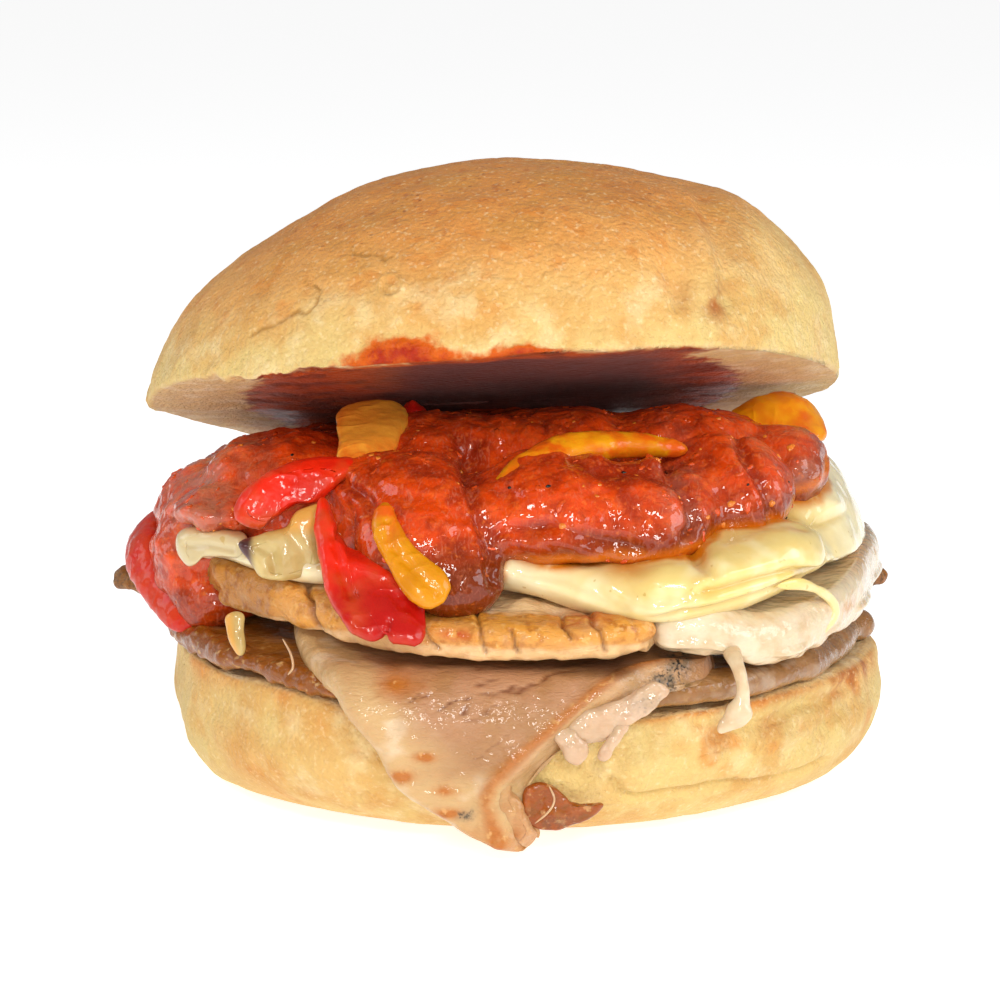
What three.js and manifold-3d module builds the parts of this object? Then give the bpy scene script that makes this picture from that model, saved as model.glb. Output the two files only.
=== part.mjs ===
// A porchetta sandwich: a split soft roll filled with slices of roast pork, melted cheese,
// chunky tomato sauce and strips of stewed pepper. It stands on the flat foot of the lower bun.
// Millimetres, +X to the eater's right, -Y towards the eater, +Z up, origin on the table under
// the middle of the sandwich. Each piece of food is one closed solid, held clear of the next.
import * as THREE from "three";
import { mergeVertices } from "three/addons/utils/BufferGeometryUtils.js";
import Module from "manifold-3d";

const wasm = await Module();
wasm.setup();

const CLEARANCE = 0.35;
const TURN = 2 * Math.PI;
const BUN_FACETS = 34; // facets round each bun

const BUN_BOTTOM = {
  centre: [3.5, 2.9],
  halfWidth: 60.6,
  halfDepth: 61.4,
  rimHeight: 23.2,
  rimSlope: -0.02, // the left rim stands a little higher than the right one
  widestHeight: 14.5,
  footInset: { front: 23, side: 14 },
  wallInset: 0.8,
  rimRounding: 1.6,
};

// The dent that the hanging slice presses into the front of the lower bun.
const DENT = { x: -4, width: 19, depth: 4.6, startsAt: -34, deepestAt: -54 };

const BUN_TOP = {
  centre: [-1.1, -1, 64.8],
  halfWidth: 58,
  halfDepth: 56,
  height: 38,
  tiltBack: 16.7, // degrees: the filling props the front up
  rollRight: 2, // degrees: and the right side a little more than the left
  shoulderLeft: 1.7, // exponent of the dome's profile: a higher one is squarer
  shoulderRight: 2.45,
  crumbSag: 1.2,
};

const HANGING_SLICE = 4.4;
const LOIN_SLICE = 6;
const FAT_SLICE = 8.4;
const CRUST_PIECE = 3;

// Heights of the layers where they lie flat, in the middle of the sandwich.
const HANGING_LEVEL = 29.0;
const LOIN_LEVEL = 33.8;
const FAT_LEVEL = 30.2;
const CRUST_LEVEL = 29.2;
const CHEESE_LEVEL = 39;
const SAUCE_LEVEL = 42;
const SAUCE_TOP = 60;

// Where the hanging slice turns down over the front of the lower bun.
const HANGING_BEND = { y: -54.4, radius: 6.9 };

// ------------------------------------------------------------------ shape tools

// 0 up to start, 1 past end, and a smooth turn between them. End may be the smaller.
function ease(value, start, end) {
  const t = THREE.MathUtils.clamp((value - start) / (end - start), 0, 1);
  return t * t * (3 - 2 * t);
}

function mix(a, b, share) {
  return a + (b - a) * share;
}

// A round hill of height 1 about (x0, y0), with the given half widths.
function hill(x, y, x0, y0, halfX, halfY) {
  return Math.exp(-(((x - x0) / halfX) ** 2) - ((y - y0) / halfY) ** 2);
}

// A closed surface of columns of points. Each column runs from one pole to the other, and
// all of them share those two poles.
function closedSurface(columnAt, around) {
  const columns = Array.from({ length: around }, (_, i) => columnAt(i / around));
  const rows = columns[0].length - 2;
  const points = [columns[0][0]];
  columns.forEach((column) => points.push(...column.slice(1, -1)));
  points.push(columns[0].at(-1));
  const last = points.length - 1;
  const at = (i, j) => 1 + (i % around) * rows + j;
  const faces = [];
  for (let i = 0; i < around; i++) {
    faces.push(0, at(i + 1, 0), at(i, 0));
    for (let j = 0; j < rows - 1; j++) {
      faces.push(at(i, j), at(i + 1, j), at(i + 1, j + 1));
      faces.push(at(i, j), at(i + 1, j + 1), at(i, j + 1));
    }
    faces.push(at(i, rows - 1), at(i + 1, rows - 1), last);
  }
  const geometry = new THREE.BufferGeometry().setFromPoints(points);
  geometry.setIndex(faces);
  return geometry;
}

// Rows of a slab from the middle of its low face to the middle of its high face, as pairs of
// the share of the way out to the edge and the side: -1 low, 1 high, between them the round rim.
function slabRows(rings, rim) {
  const faceRows = Array.from(
    { length: rings + 1 },
    (_, i) => (1 - rim) * Math.sin(((TURN / 4) * i) / rings),
  );
  const rimRows = [-60, -20, 20, 60].map((degrees) => {
    const angle = THREE.MathUtils.degToRad(degrees);
    return [1 - rim + rim * Math.cos(angle), Math.sin(angle)];
  });
  return [
    ...faceRows.map((out) => [out, -1]),
    ...rimRows,
    ...faceRows.toReversed().map((out) => [out, 1]),
  ];
}

// A slab inside a closed outline of [x, y] points. place(x, y, side, out) gives the point of a
// place on the slab, where side runs from -1 on the low face to 1 on the high face, and out
// from 0 in the middle to 1 at the edge.
function slab({ outline, middle, place, around = 24, rings = 2, rim = 0.08 }) {
  const edge = new THREE.CatmullRomCurve3(
    outline.map(([x, y]) => new THREE.Vector3(x, y, 0)),
    true,
    "catmullrom",
  );
  const rows = slabRows(rings, rim);
  const columnAt = (share) => {
    const tip = edge.getPoint(share);
    return rows.map(([out, side]) => {
      const x = mix(middle[0], tip.x, out);
      const y = mix(middle[1], tip.y, out);
      return place(x, y, side, out);
    });
  };
  return closedSurface(columnAt, around);
}

// The place function of a slab between two height functions of x, y and out.
function between(low, high) {
  return (x, y, side, out) =>
    new THREE.Vector3(x, y, mix(low(x, y, out), high(x, y, out), (side + 1) / 2));
}

// A strip of flesh along a path: an oval section, width by thickness, that closes at both
// ends. The thickness lies along the direction that the strip faces.
function strip({ path, width, thickness, faces, around = 8, steps = 8, bluntness = 5 }) {
  const spine = new THREE.CatmullRomCurve3(
    path.map((point) => new THREE.Vector3(...point)),
    false,
    "catmullrom",
  );
  const facing = new THREE.Vector3(...faces);
  const columnAt = (share) => {
    const angle = -TURN * share;
    return Array.from({ length: steps + 1 }, (_, k) => {
      const along = (1 - Math.cos((Math.PI * k) / steps)) / 2;
      const taper = Math.sqrt(1 - Math.abs(2 * along - 1) ** bluntness);
      const tangent = spine.getTangent(along);
      const depth = facing.clone().addScaledVector(tangent, -facing.dot(tangent)).normalize();
      const side = tangent.clone().cross(depth);
      return spine
        .getPoint(along)
        .addScaledVector(side, (taper * width * Math.cos(angle)) / 2)
        .addScaledVector(depth, (taper * thickness * Math.sin(angle)) / 2);
    });
  };
  return closedSurface(columnAt, around);
}

// A round lump, with half sizes along its own axes, turned about Z and then leant forward.
function lump({ at, half, turn = 0, lean = 0, around = 9, rows = 5 }) {
  const geometry = new THREE.SphereGeometry(1, around, rows);
  geometry.rotateX(TURN / 4);
  geometry.scale(...half);
  geometry.rotateX(THREE.MathUtils.degToRad(lean));
  geometry.rotateZ(THREE.MathUtils.degToRad(turn));
  geometry.translate(...at);
  return geometry;
}

function solidOf(geometry) {
  const bare = geometry.clone();
  bare.deleteAttribute("normal");
  bare.deleteAttribute("uv");
  const merged = mergeVertices(bare);
  const vertProperties = merged.attributes.position.array;
  const triVerts = new Uint32Array(merged.index.array);
  return new wasm.Manifold(new wasm.Mesh({ numProp: 3, vertProperties, triVerts }));
}

// The same shape, grown outwards by the clearance, to cut its neighbours with.
function skinOf(geometry) {
  const bare = geometry.clone();
  bare.deleteAttribute("normal");
  bare.deleteAttribute("uv");
  const grown = mergeVertices(bare);
  grown.computeVertexNormals();
  const { position, normal } = grown.attributes;
  for (let i = 0; i < position.count; i++) {
    position.setXYZ(
      i,
      position.getX(i) + CLEARANCE * normal.getX(i),
      position.getY(i) + CLEARANCE * normal.getY(i),
      position.getZ(i) + CLEARANCE * normal.getZ(i),
    );
  }
  return solidOf(grown);
}

const sandwich = new THREE.Group();
const skins = [];

// Joins the given shapes into one piece, cuts it clear of every piece added before it, keeps
// its largest body and adds it to the sandwich.
function addPiece(name, shapes, { colour, roughness }) {
  const joined = shapes.map(solidOf).reduce((sum, shape) => sum.add(shape));
  const cut = skins.reduce((rest, skin) => rest.subtract(skin), joined);
  const bodies = cut.decompose().sort((a, b) => b.volume() - a.volume());
  const { vertProperties, triVerts } = bodies[0].getMesh();
  const geometry = new THREE.BufferGeometry();
  geometry.setAttribute("position", new THREE.BufferAttribute(vertProperties, 3));
  geometry.setIndex(new THREE.BufferAttribute(triVerts, 1));
  const material = new THREE.MeshStandardMaterial({ color: colour, roughness, metalness: 0 });
  const mesh = new THREE.Mesh(geometry, material);
  mesh.name = name;
  sandwich.add(mesh);
  skins.push(...shapes.map(skinOf));
}

// ------------------------------------------------------------------ the two buns

function dent(x, y) {
  const across = Math.exp(-(((x - DENT.x) / DENT.width) ** 2));
  return DENT.depth * across * ease(y, DENT.startsAt, DENT.deepestAt);
}

// Height of the cut face of the lower bun.
function crumbHeight(x, y) {
  return BUN_BOTTOM.rimHeight + BUN_BOTTOM.rimSlope * x - dent(x, y);
}

function bunBottom() {
  const { centre, halfWidth, halfDepth, widestHeight, footInset, wallInset, rimRounding } = BUN_BOTTOM;
  const columnAt = (share) => {
    const angle = TURN * share;
    const uneven = 1 + 0.009 * Math.sin(3 * angle + 1) + 0.006 * Math.sin(5 * angle + 2);
    const point = (inset, height, out = 1) => {
      const x = centre[0] + (halfWidth * uneven - inset) * out * Math.cos(angle);
      const y = centre[1] + (halfDepth * uneven - inset) * out * Math.sin(angle);
      return new THREE.Vector3(x, y, height(x, y));
    };
    const level = (z) => () => z;
    const foot = mix(footInset.side, footInset.front, ease(Math.sin(angle), -0.3, -1));
    const corner = [0, 25, 50, 72, 90].map((degrees) => {
      const turn = THREE.MathUtils.degToRad(degrees);
      return point(foot * (1 - Math.sin(turn)), level(widestHeight * (1 - Math.cos(turn))));
    });
    return [
      point(0, level(0), 0),
      point(foot, level(0), 0.6),
      ...corner,
      point(wallInset / 3, (x, y) => mix(widestHeight, crumbHeight(x, y), 0.45)),
      point(wallInset, (x, y) => crumbHeight(x, y) - rimRounding),
      point(wallInset + rimRounding, crumbHeight),
      point(wallInset + rimRounding, crumbHeight, 0.8),
      point(wallInset + rimRounding, crumbHeight, 0.45),
      point(0, crumbHeight, 0),
    ];
  };
  return closedSurface(columnAt, BUN_FACETS);
}

function bunTop() {
  const { centre, halfWidth, halfDepth, height, shoulderLeft, shoulderRight, crumbSag } = BUN_TOP;
  const columnAt = (share) => {
    const angle = TURN * share;
    const uneven = 1 + 0.008 * Math.sin(3 * angle + 2) + 0.005 * Math.sin(5 * angle);
    const exponent = mix(shoulderLeft, shoulderRight, 0.5 + 0.5 * Math.cos(angle));
    const point = (out, up) =>
      new THREE.Vector3(
        halfWidth * uneven * out * Math.cos(angle),
        halfDepth * uneven * out * Math.sin(angle),
        up,
      );
    const under = [0, 0.4, 0.75, 0.93].map((out) => point(out, -crumbSag * (1 - out ** 2)));
    const dome = [0, 10, 20, 31, 43, 55, 67, 79].map((degrees) => {
      const turn = THREE.MathUtils.degToRad(degrees);
      const out = Math.cos(turn) ** (2 / exponent);
      return point(out, height * Math.sin(turn) ** (2 / exponent));
    });
    return [...under, ...dome, point(0, height)];
  };
  const geometry = closedSurface(columnAt, BUN_FACETS);
  geometry.rotateX(-THREE.MathUtils.degToRad(BUN_TOP.tiltBack));
  geometry.rotateY(-THREE.MathUtils.degToRad(BUN_TOP.rollRight));
  geometry.translate(...centre);
  return geometry;
}

// ------------------------------------------------------------------ the slices of pork

const UNDER_LEFT = {
  thickness: 4.6,
  middle: [-24, 0],
  outline: [
    [2, 55], [-25, 50], [-45, 35], [-55, 14], [-56.5, -8], [-51, -25], [-42, -39], [-30, -49.5],
    [-17, -56.5], [2, -55], [3, -30], [1, 0], [2, 30],
  ],
};

const UNDER_RIGHT = {
  thickness: 5.2,
  middle: [30, 0],
  outline: [
    [22, -56], [38, -49], [49, -38], [58, -19], [62.5, -3], [60, 20], [48, 40], [25, 53], [0, 56],
    [3, 30], [2, 0], [4, -30], [5, -56],
  ],
};

function underSlice({ thickness, middle, outline }) {
  const low = (x, y) => crumbHeight(x, y) + 2 * CLEARANCE;
  const high = (x, y) => crumbHeight(x, y) + CLEARANCE + thickness;
  return slab({ outline, middle, place: between(low, high) });
}

// The slice that hangs over the front, as rows of [distance past the bend, left edge, right
// edge]. The rows before the bend lie flat between the other slices.
const HANGING_ROWS = [
  [-84, -8, -2], [-78, -20, 10], [-60, -30, 22], [-38, -33.5, 30], [-14, -32, 33.5],
  [-4, -29, 32.5], [3, -26.4, 24.5], [8.5, -23.4, 16.4], [13.7, -19.2, 9.6], [19.5, -16.2, 4.6],
  [24.5, -9.8, 4.8], [28.5, -4.6, 6.8], [31, 1.5, 5.4],
];

// The centre line of the hanging slice, by the distance past the bend, and its normal.
function hangingSpine(along) {
  const { y: bendY, radius } = HANGING_BEND;
  const quarter = (TURN / 4) * radius;
  const level = HANGING_LEVEL + HANGING_SLICE / 2 - 2.2 * ease(along, -24, -2);
  const angle = THREE.MathUtils.clamp(along, 0, quarter) / radius;
  const flat = Math.min(along, 0);
  const hang = Math.max(along - quarter, 0);
  const normal = new THREE.Vector3(0, -Math.sin(angle), Math.cos(angle));
  const bend = new THREE.Vector3(0, bendY - flat, level - radius - hang);
  return { point: bend.addScaledVector(normal, radius), normal };
}

function hangingSlice() {
  const rows = new THREE.CatmullRomCurve3(
    HANGING_ROWS.map((row) => new THREE.Vector3(...row)),
    false,
    "catmullrom",
  );
  const steps = 25;
  const columnAt = (share) => {
    const turn = TURN * share;
    return Array.from({ length: steps + 1 }, (_, k) => {
      const { x: along, y: left, z: right } = rows.getPoint(k / steps);
      const { point, normal } = hangingSpine(along);
      const closing = Math.sqrt(1 - Math.abs((2 * k) / steps - 1) ** 14);
      const across = mix(left, right, 0.5 + 0.5 * closing * Math.cos(turn));
      const depth = Math.sign(Math.sin(turn)) * Math.abs(Math.sin(turn)) ** 0.5;
      point.setX(across);
      return point.addScaledVector(normal, (closing * depth * HANGING_SLICE) / 2);
    });
  };
  return closedSurface(columnAt, 12);
}

// Lumps of soft fat on the folded right edge of the hanging slice.
const HANGING_FOLDS = [
  { at: [16.5, -61.7, 23], half: [5.6, 3.2, 4.6], lean: 10 },
  { at: [23, -60.7, 26.5], half: [6, 3.5, 3.8], turn: 25 },
  { at: [19.6, -62, 19.8], half: [3, 2, 3.2] },
  { at: [2.5, -60.6, 6.2], half: [4.6, 2.6, 4.6] },
];

const LOIN_OUTLINE = [
  [23.5, -55], [15, -59.3], [2, -60.2], [-11, -58], [-22, -51.5], [-31, -44.5], [-40, -35],
  [-46.5, -26], [-50.5, -14], [-51, 4], [-44, 25], [-28, 42], [-8, 50], [8, 46], [17, 24],
  [22, -6], [24, -36],
];

function loinSlice() {
  const low = (x, y) => LOIN_LEVEL - 1.6 * ease(y, -34, -58) - 0.4 * ease(x, -30, -50);
  const high = (x, y) => low(x, y) + LOIN_SLICE + 1.1 * ease(x, -20, -48);
  return slab({
    outline: LOIN_OUTLINE.toReversed(),
    middle: [-10, -8],
    place: between(low, high),
    around: 28,
  });
}

const FAT_OUTLINE = [
  [25.5, -54], [32, -56.8], [39, -54], [47, -47.5], [54.5, -38], [60, -26], [63.5, -12], [66.4, 3],
  [64, 20], [54, 37], [38, 48], [20, 53], [10, 52], [12, 44], [20, 24], [24.5, -6], [26.4, -36],
];

function fatSlice() {
  const overHanging = (x, y) => ease(x, 40, 31) * (3.6 - 1.8 * ease(y, -34, -56));
  const sag = (x, y) => 1.2 * hill(x, y, 46, -48, 10, 12);
  const low = (x, y) => FAT_LEVEL + overHanging(x, y) - sag(x, y) + 2 * ease(x, 50, 66);
  const high = (x, y) => low(x, y) + FAT_SLICE;
  return slab({ outline: FAT_OUTLINE, middle: [42, -4], place: between(low, high), around: 26 });
}

// The thread of fat that hangs from the front of the fatty slice.
const FAT_THREAD = {
  path: [
    [33, -54.5, 32], [36.5, -58.2, 30.4], [38.2, -59.6, 27.2], [36.6, -60.4, 23.8],
    [33.6, -60.6, 20.8],
  ],
  width: 3.2,
  thickness: 2.2,
  faces: [0, -1, 0.2],
};

const LEFT_CRUST = [[-67.5, 11.5], [-61, 4], [-50, -1], [-38, 4], [-36, 15], [-47, 21], [-60, 18]];
const RIGHT_CRUST = [[68, 14], [60.5, 20], [50, 24], [43, 14], [50, 5], [61.5, 8]];

function crustPiece(outline, middle) {
  const low = (x, y, out) => CRUST_LEVEL - 0.9 * out ** 3;
  const high = (x, y, out) => CRUST_LEVEL + CRUST_PIECE - 0.6 * out ** 3;
  return slab({ outline, middle, place: between(low, high), around: 18, rings: 1, rim: 0.12 });
}

// A scrap of dark crackling under the tip of the hanging slice.
const CRACKLING_OUTLINE = [[4, 12.4], [8, 12.6], [11.5, 9.6], [16, 9.2], [12.6, 6.4], [7, 5.4], [4, 7]];

function crackling() {
  const place = (x, z, side) => new THREE.Vector3(x, -60.1 + 0.8 * side + 0.12 * (x - 8), z);
  return slab({ outline: CRACKLING_OUTLINE, middle: [8, 9], place, around: 18, rings: 1, rim: 0.15 });
}

// ------------------------------------------------------------------ cheese, peppers and sauce

const CHEESE_OUTLINE = [
  [24, -58], [32, -57.4], [41, -52], [48.5, -43.5], [55, -31], [59.5, -18], [61.5, -5], [60, 12],
  [54, 29], [40, 42], [22, 48.5], [0, 47], [-20, 43], [-40, 30], [-51, 8], [-54.5, -9], [-52.5, -22],
  [-46, -27.5], [-40, -36.5], [-33.5, -42.5], [-24, -43], [-10, -46.5], [2, -52], [13, -54.5],
];

function cheeseTop(x, y) {
  const frontFold = 5.5 * hill(x, y, 34, -38, 18, 14);
  const rightMound = 20 * hill(x, y, 52, -4, 13, 26);
  const leftLobe = 2.5 * hill(x, y, -34, -34, 7, 9);
  return CHEESE_LEVEL + 5.4 + frontFold + rightMound + leftLobe;
}

function cheeseSheet() {
  const lip = (x, y) => 5.2 * hill(x, y, 28, -58, 13, 12);
  const rimHeight = (x, y) => CHEESE_LEVEL + 3 - lip(x, y) - 0.6 * ease(x, 40, 58);
  const low = (x, y, out) => mix(CHEESE_LEVEL, rimHeight(x, y) - 1.6, out ** 4);
  const high = (x, y, out) => mix(rimHeight(x, y) + 1.6, cheeseTop(x, y), Math.sqrt(1 - out ** 3));
  return slab({
    outline: CHEESE_OUTLINE,
    middle: [4, -4],
    place: between(low, high),
    around: 28,
    rings: 3,
    rim: 0.07,
  });
}

const PEPPERS = {
  pepper_red_front: {
    path: [[-44, -31, 49.8], [-38.5, -35, 51.6], [-32, -35.4, 54.6], [-24.5, -31.5, 57.6]],
    width: 8.2,
    thickness: 6,
    faces: [-0.2, -1, 0.5],
  },
  pepper_red_hanging: {
    path: [[-26.6, -45, 53], [-25.6, -51, 46.5], [-21.5, -56.6, 41], [-14.6, -59.6, 38.6]],
    width: 10.6,
    thickness: 6.4,
    faces: [0, -1, 0.5],
  },
  pepper_red_left: {
    path: [[-58.5, 4, 41.5], [-60, -5, 38.6], [-56.6, -13, 33.6], [-50.6, -21, 28.6]],
    width: 7.4,
    thickness: 6,
    faces: [-1, -0.6, 0.5],
  },
  pepper_yellow_hanging: {
    path: [[-19.6, -46.5, 55], [-16.6, -53, 50.4], [-12.2, -58.4, 45], [-7.4, -60.6, 40.8]],
    width: 7.4,
    thickness: 4.6,
    faces: [0.2, -1, 0.5],
  },
  pepper_yellow_left: {
    path: [[-25.5, -6, 63.2], [-22.6, -14, 62], [-21.5, -23, 59.4], [-22.5, -30, 56.6]],
    width: 11,
    thickness: 4.4,
    faces: [0, -0.5, 1],
  },
  pepper_yellow_middle: {
    path: [[0.4, -42, 54], [3.4, -37.5, 58.4], [10, -33, 61], [20, -31, 61.8], [31, -29, 60.2]],
    width: 6.6,
    thickness: 5.2,
    faces: [0, -0.7, 1],
  },
  pepper_red_back: {
    path: [[-15, 39, 47.4], [-7, 45, 47], [2, 47.6, 46], [10, 47, 44.6]],
    width: 7.6,
    thickness: 5,
    faces: [0, 1, 0.5],
  },
  pepper_yellow_back: {
    path: [[22, 41.5, 48], [29, 42.6, 47], [36, 39.5, 46.2], [42, 34.5, 45]],
    width: 7.6,
    thickness: 4.6,
    faces: [0.3, 1, 0.4],
  },
  pepper_yellow_right: {
    path: [[37.5, -9, 59.4], [43.5, -9.5, 61], [49, -8, 61.4], [54, -4.5, 60.2]],
    width: 9,
    thickness: 4.6,
    faces: [0.1, -0.7, 1],
  },
};

const ONION_PETAL = {
  path: [[-44.6, -31, 44.2], [-41.8, -34.2, 44.8], [-38.4, -36, 46.6]],
  width: 5.2,
  thickness: 3,
  faces: [-0.3, -1, 0.5],
};

const ONION_SLIVER = {
  path: [[-42.4, -37, 34.4], [-43.2, -38.6, 31.4], [-42, -40.2, 28.6]],
  width: 2.6,
  thickness: 2.2,
  faces: [-0.3, -1, 0],
};

const SAUCE_OUTLINE = [
  [0, -42], [20, -46], [38, -40], [49, -25], [52, -2], [45, 25], [27, 39], [5, 42], [-16, 41],
  [-37, 30], [-49, 8], [-51, -10], [-42, -25], [-24, -37],
];

function sauceBed() {
  const low = () => SAUCE_LEVEL;
  const high = (x, y, out) => mix(SAUCE_LEVEL + 3, SAUCE_TOP, Math.sqrt(1 - out ** 3));
  return slab({ outline: SAUCE_OUTLINE, middle: [0, -4], place: between(low, high), around: 20 });
}

const SAUCE_LUMPS = [
  { at: [-47, -8, 46.5], half: [10, 12, 7.5], turn: 20 },
  { at: [-51.5, -14.5, 39.5], half: [6.4, 9, 9], turn: 25 },
  { at: [-48.6, -20.6, 32.2], half: [5.4, 6.2, 6], turn: 30 },
  { at: [-36, -14, 53.5], half: [12, 12, 6.2] },
  { at: [-14, -36, 55], half: [12.5, 10.5, 6.4] },
  { at: [-10.5, -47.5, 48.6], half: [12, 9, 8.6] },
  { at: [-5.8, -53, 43.8], half: [6.4, 5.2, 5.4] },
  { at: [9, -42, 53], half: [13, 10.4, 8.2], turn: -8 },
  { at: [24, -44, 52.6], half: [11.4, 9.6, 8] },
  { at: [37.5, -34, 54.4], half: [10, 10, 7.6], turn: 15 },
  { at: [46.5, -19, 54.4], half: [7, 10, 7.2], turn: 10 },
  { at: [-8, -18, 58.4], half: [12, 12, 5.2] },
  { at: [10, -16, 59.2], half: [13, 12, 5] },
  { at: [30, -15, 58.8], half: [13, 12, 5.6] },
  { at: [-45, 13, 47], half: [8, 12, 6] },
  { at: [-25, 34, 46.6], half: [12, 9, 6] },
  { at: [3, 38.5, 46.4], half: [13, 8.6, 6] },
  { at: [31, 33, 47], half: [12, 10, 6] },
];

// ------------------------------------------------------------------ the whole sandwich

const CRUST = { colour: "#d39a55", roughness: 0.6 };
const CRUMB = { colour: "#e6c98c", roughness: 0.7 };
const PORK = { colour: "#d7ab8e", roughness: 0.45 };
const ROAST = { colour: "#c98d52", roughness: 0.45 };
const DARK_ROAST = { colour: "#8a4f22", roughness: 0.35 };
const FAT = { colour: "#dcc3aa", roughness: 0.3 };
const CHEESE = { colour: "#eedd96", roughness: 0.3 };
const RED_PEPPER = { colour: "#c41f14", roughness: 0.2 };
const YELLOW_PEPPER = { colour: "#dd9a1e", roughness: 0.25 };
const ONION = { colour: "#c9b08a", roughness: 0.3 };
const SAUCE = { colour: "#ad2c15", roughness: 0.2 };

addPiece("bun_bottom", [bunBottom()], CRUMB);
addPiece("bun_top", [bunTop()], CRUST);
addPiece("slice_hanging", [hangingSlice(), ...HANGING_FOLDS.map(lump)], PORK);
addPiece("slice_under_left", [underSlice(UNDER_LEFT)], DARK_ROAST);
addPiece("slice_under_right", [underSlice(UNDER_RIGHT)], FAT);
addPiece("slice_loin", [loinSlice()], ROAST);
addPiece("slice_fat", [fatSlice(), strip(FAT_THREAD)], FAT);
addPiece("crust_left", [crustPiece(LEFT_CRUST, [-50, 9])], ROAST);
addPiece("crust_right", [crustPiece(RIGHT_CRUST, [54, 14])], ROAST);
addPiece("crackling", [crackling()], DARK_ROAST);
Object.entries(PEPPERS).forEach(([name, pepper]) => {
  const material = name.startsWith("pepper_red") ? RED_PEPPER : YELLOW_PEPPER;
  addPiece(name, [strip(pepper)], material);
});
addPiece("onion_petal", [strip(ONION_PETAL)], ONION);
addPiece("onion_sliver", [strip(ONION_SLIVER)], ONION);
addPiece("cheese", [cheeseSheet()], CHEESE);
addPiece("sauce", [sauceBed(), ...SAUCE_LUMPS.map(lump)], SAUCE);

export default sandwich;
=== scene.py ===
"""A porchetta sandwich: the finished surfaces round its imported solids.

Shapes are worked out in millimetres, +X to the eater's right, -Y towards the eater and +Z up,
and are put into Blender in metres. Every food is a grid of points: columns run round it,
counter-clockwise seen from above, and rows run from its lowest or first pole to its last.
"""

import itertools
import math

import bpy
import numpy as np
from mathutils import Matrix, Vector


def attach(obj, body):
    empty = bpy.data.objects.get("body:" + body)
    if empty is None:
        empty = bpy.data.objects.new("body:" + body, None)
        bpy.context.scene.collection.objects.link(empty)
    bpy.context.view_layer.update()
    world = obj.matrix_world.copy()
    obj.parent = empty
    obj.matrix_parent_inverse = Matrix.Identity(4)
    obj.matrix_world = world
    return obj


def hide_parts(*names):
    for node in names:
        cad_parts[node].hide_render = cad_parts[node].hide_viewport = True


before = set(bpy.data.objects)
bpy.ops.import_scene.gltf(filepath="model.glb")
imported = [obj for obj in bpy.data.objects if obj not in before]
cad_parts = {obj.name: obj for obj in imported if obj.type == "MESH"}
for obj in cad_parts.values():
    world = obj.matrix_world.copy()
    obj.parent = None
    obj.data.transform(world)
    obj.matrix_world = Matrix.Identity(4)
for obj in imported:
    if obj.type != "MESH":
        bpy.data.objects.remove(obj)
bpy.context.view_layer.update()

bl_info = {
    "name": "Porchetta Sandwich",
    "version": (1, 0, 0),
    "blender": (4, 5, 0),
    "location": "3D View > Sidebar > Sandwich",
    "description": "Builds the looks of a porchetta sandwich round its packed solids",
    "category": "Object",
}

MM = 0.001
TURN = 2 * math.pi
BODY = "root"


# ------------------------------------------------------------------ numbers and curves


def ease(value, start, end):
    """0 up to start, 1 past end, and the smooth step 3t^2 - 2t^3 between them."""
    t = np.clip((value - start) / (end - start), 0, 1)
    return t * t * (3 - 2 * t)


def mix(a, b, share):
    """The value that share of the way from a to b."""
    return a + (b - a) * share


def hill(x, y, x0, y0, half_x, half_y):
    """A round hill of height 1: e to the minus squared distance, in half widths."""
    return np.exp(-(((x - x0) / half_x) ** 2) - ((y - y0) / half_y) ** 2)


def spline(points, share, closed=False):
    """The uniform Catmull-Rom curve through the points, at each share of its way."""
    p = np.asarray(points, float)
    if closed:
        place = np.asarray(share) * len(p)
        i = np.floor(place).astype(int)
        a, b, c, d = (p[(i + step) % len(p)] for step in (-1, 0, 1, 2))
    else:
        padded = np.vstack([2 * p[0] - p[1], p, 2 * p[-1] - p[-2]])
        place = np.clip(share, 0, 1) * (len(p) - 1)
        i = np.minimum(np.floor(place).astype(int), len(p) - 2)
        a, b, c, d = (padded[i + step] for step in range(4))
    t = (place - i)[..., None]
    cubic = (-a + 3 * b - 3 * c + d) * t**3
    return 0.5 * (2 * b + (c - a) * t + (2 * a - 5 * b + 4 * c - d) * t**2 + cubic)


def curve(values, share):
    """The Catmull-Rom curve through evenly spaced numbers, at each share of its way."""
    return spline([(value,) for value in values], share)[..., 0]


def away_from_path(x, y, path):
    """Distance of each point (x, y) from a line of straight stretches: the least of its
    distances to them, each measured to the point's clipped projection."""
    path = np.asarray(path, float)
    nearest = np.full(np.shape(x), np.inf)
    for (x0, y0), (x1, y1) in zip(path[:-1], path[1:]):
        length = (x1 - x0) ** 2 + (y1 - y0) ** 2
        t = np.clip(((x - x0) * (x1 - x0) + (y - y0) * (y1 - y0)) / length, 0, 1)
        gap = np.hypot(x - mix(x0, x1, t), y - mix(y0, y1, t))
        nearest = np.minimum(nearest, gap)
    return nearest


# ------------------------------------------------------------------ natural unevenness


def drawn(x, z, lines):
    """Ridges and grooves drawn over the front: each line is its (x, z) points, its height
    in mm, under zero for a groove, and its half width. Their sum falls off as a bell."""
    return sum(
        height * np.exp(-((away_from_path(x, z, path) / half) ** 2)) for path, height, half in lines
    )


def lattice_chance(cell, seed):
    """A fixed random number from 0 to 1 for each whole-numbered cell, by mixing its bits."""
    i, j, k = np.moveaxis(cell.astype(np.int64), -1, 0)
    bits = (i * 374761393 + j * 668265263 + k * 2147483629 + seed * 1274126177) & 0xFFFFFFFF
    bits = ((bits ^ (bits >> 13)) * 1103515245) & 0xFFFFFFFF
    bits = ((bits ^ (bits >> 16)) * 1540483477) & 0xFFFFFFFF
    return (bits ^ (bits >> 15)) / 4294967295.0


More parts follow.
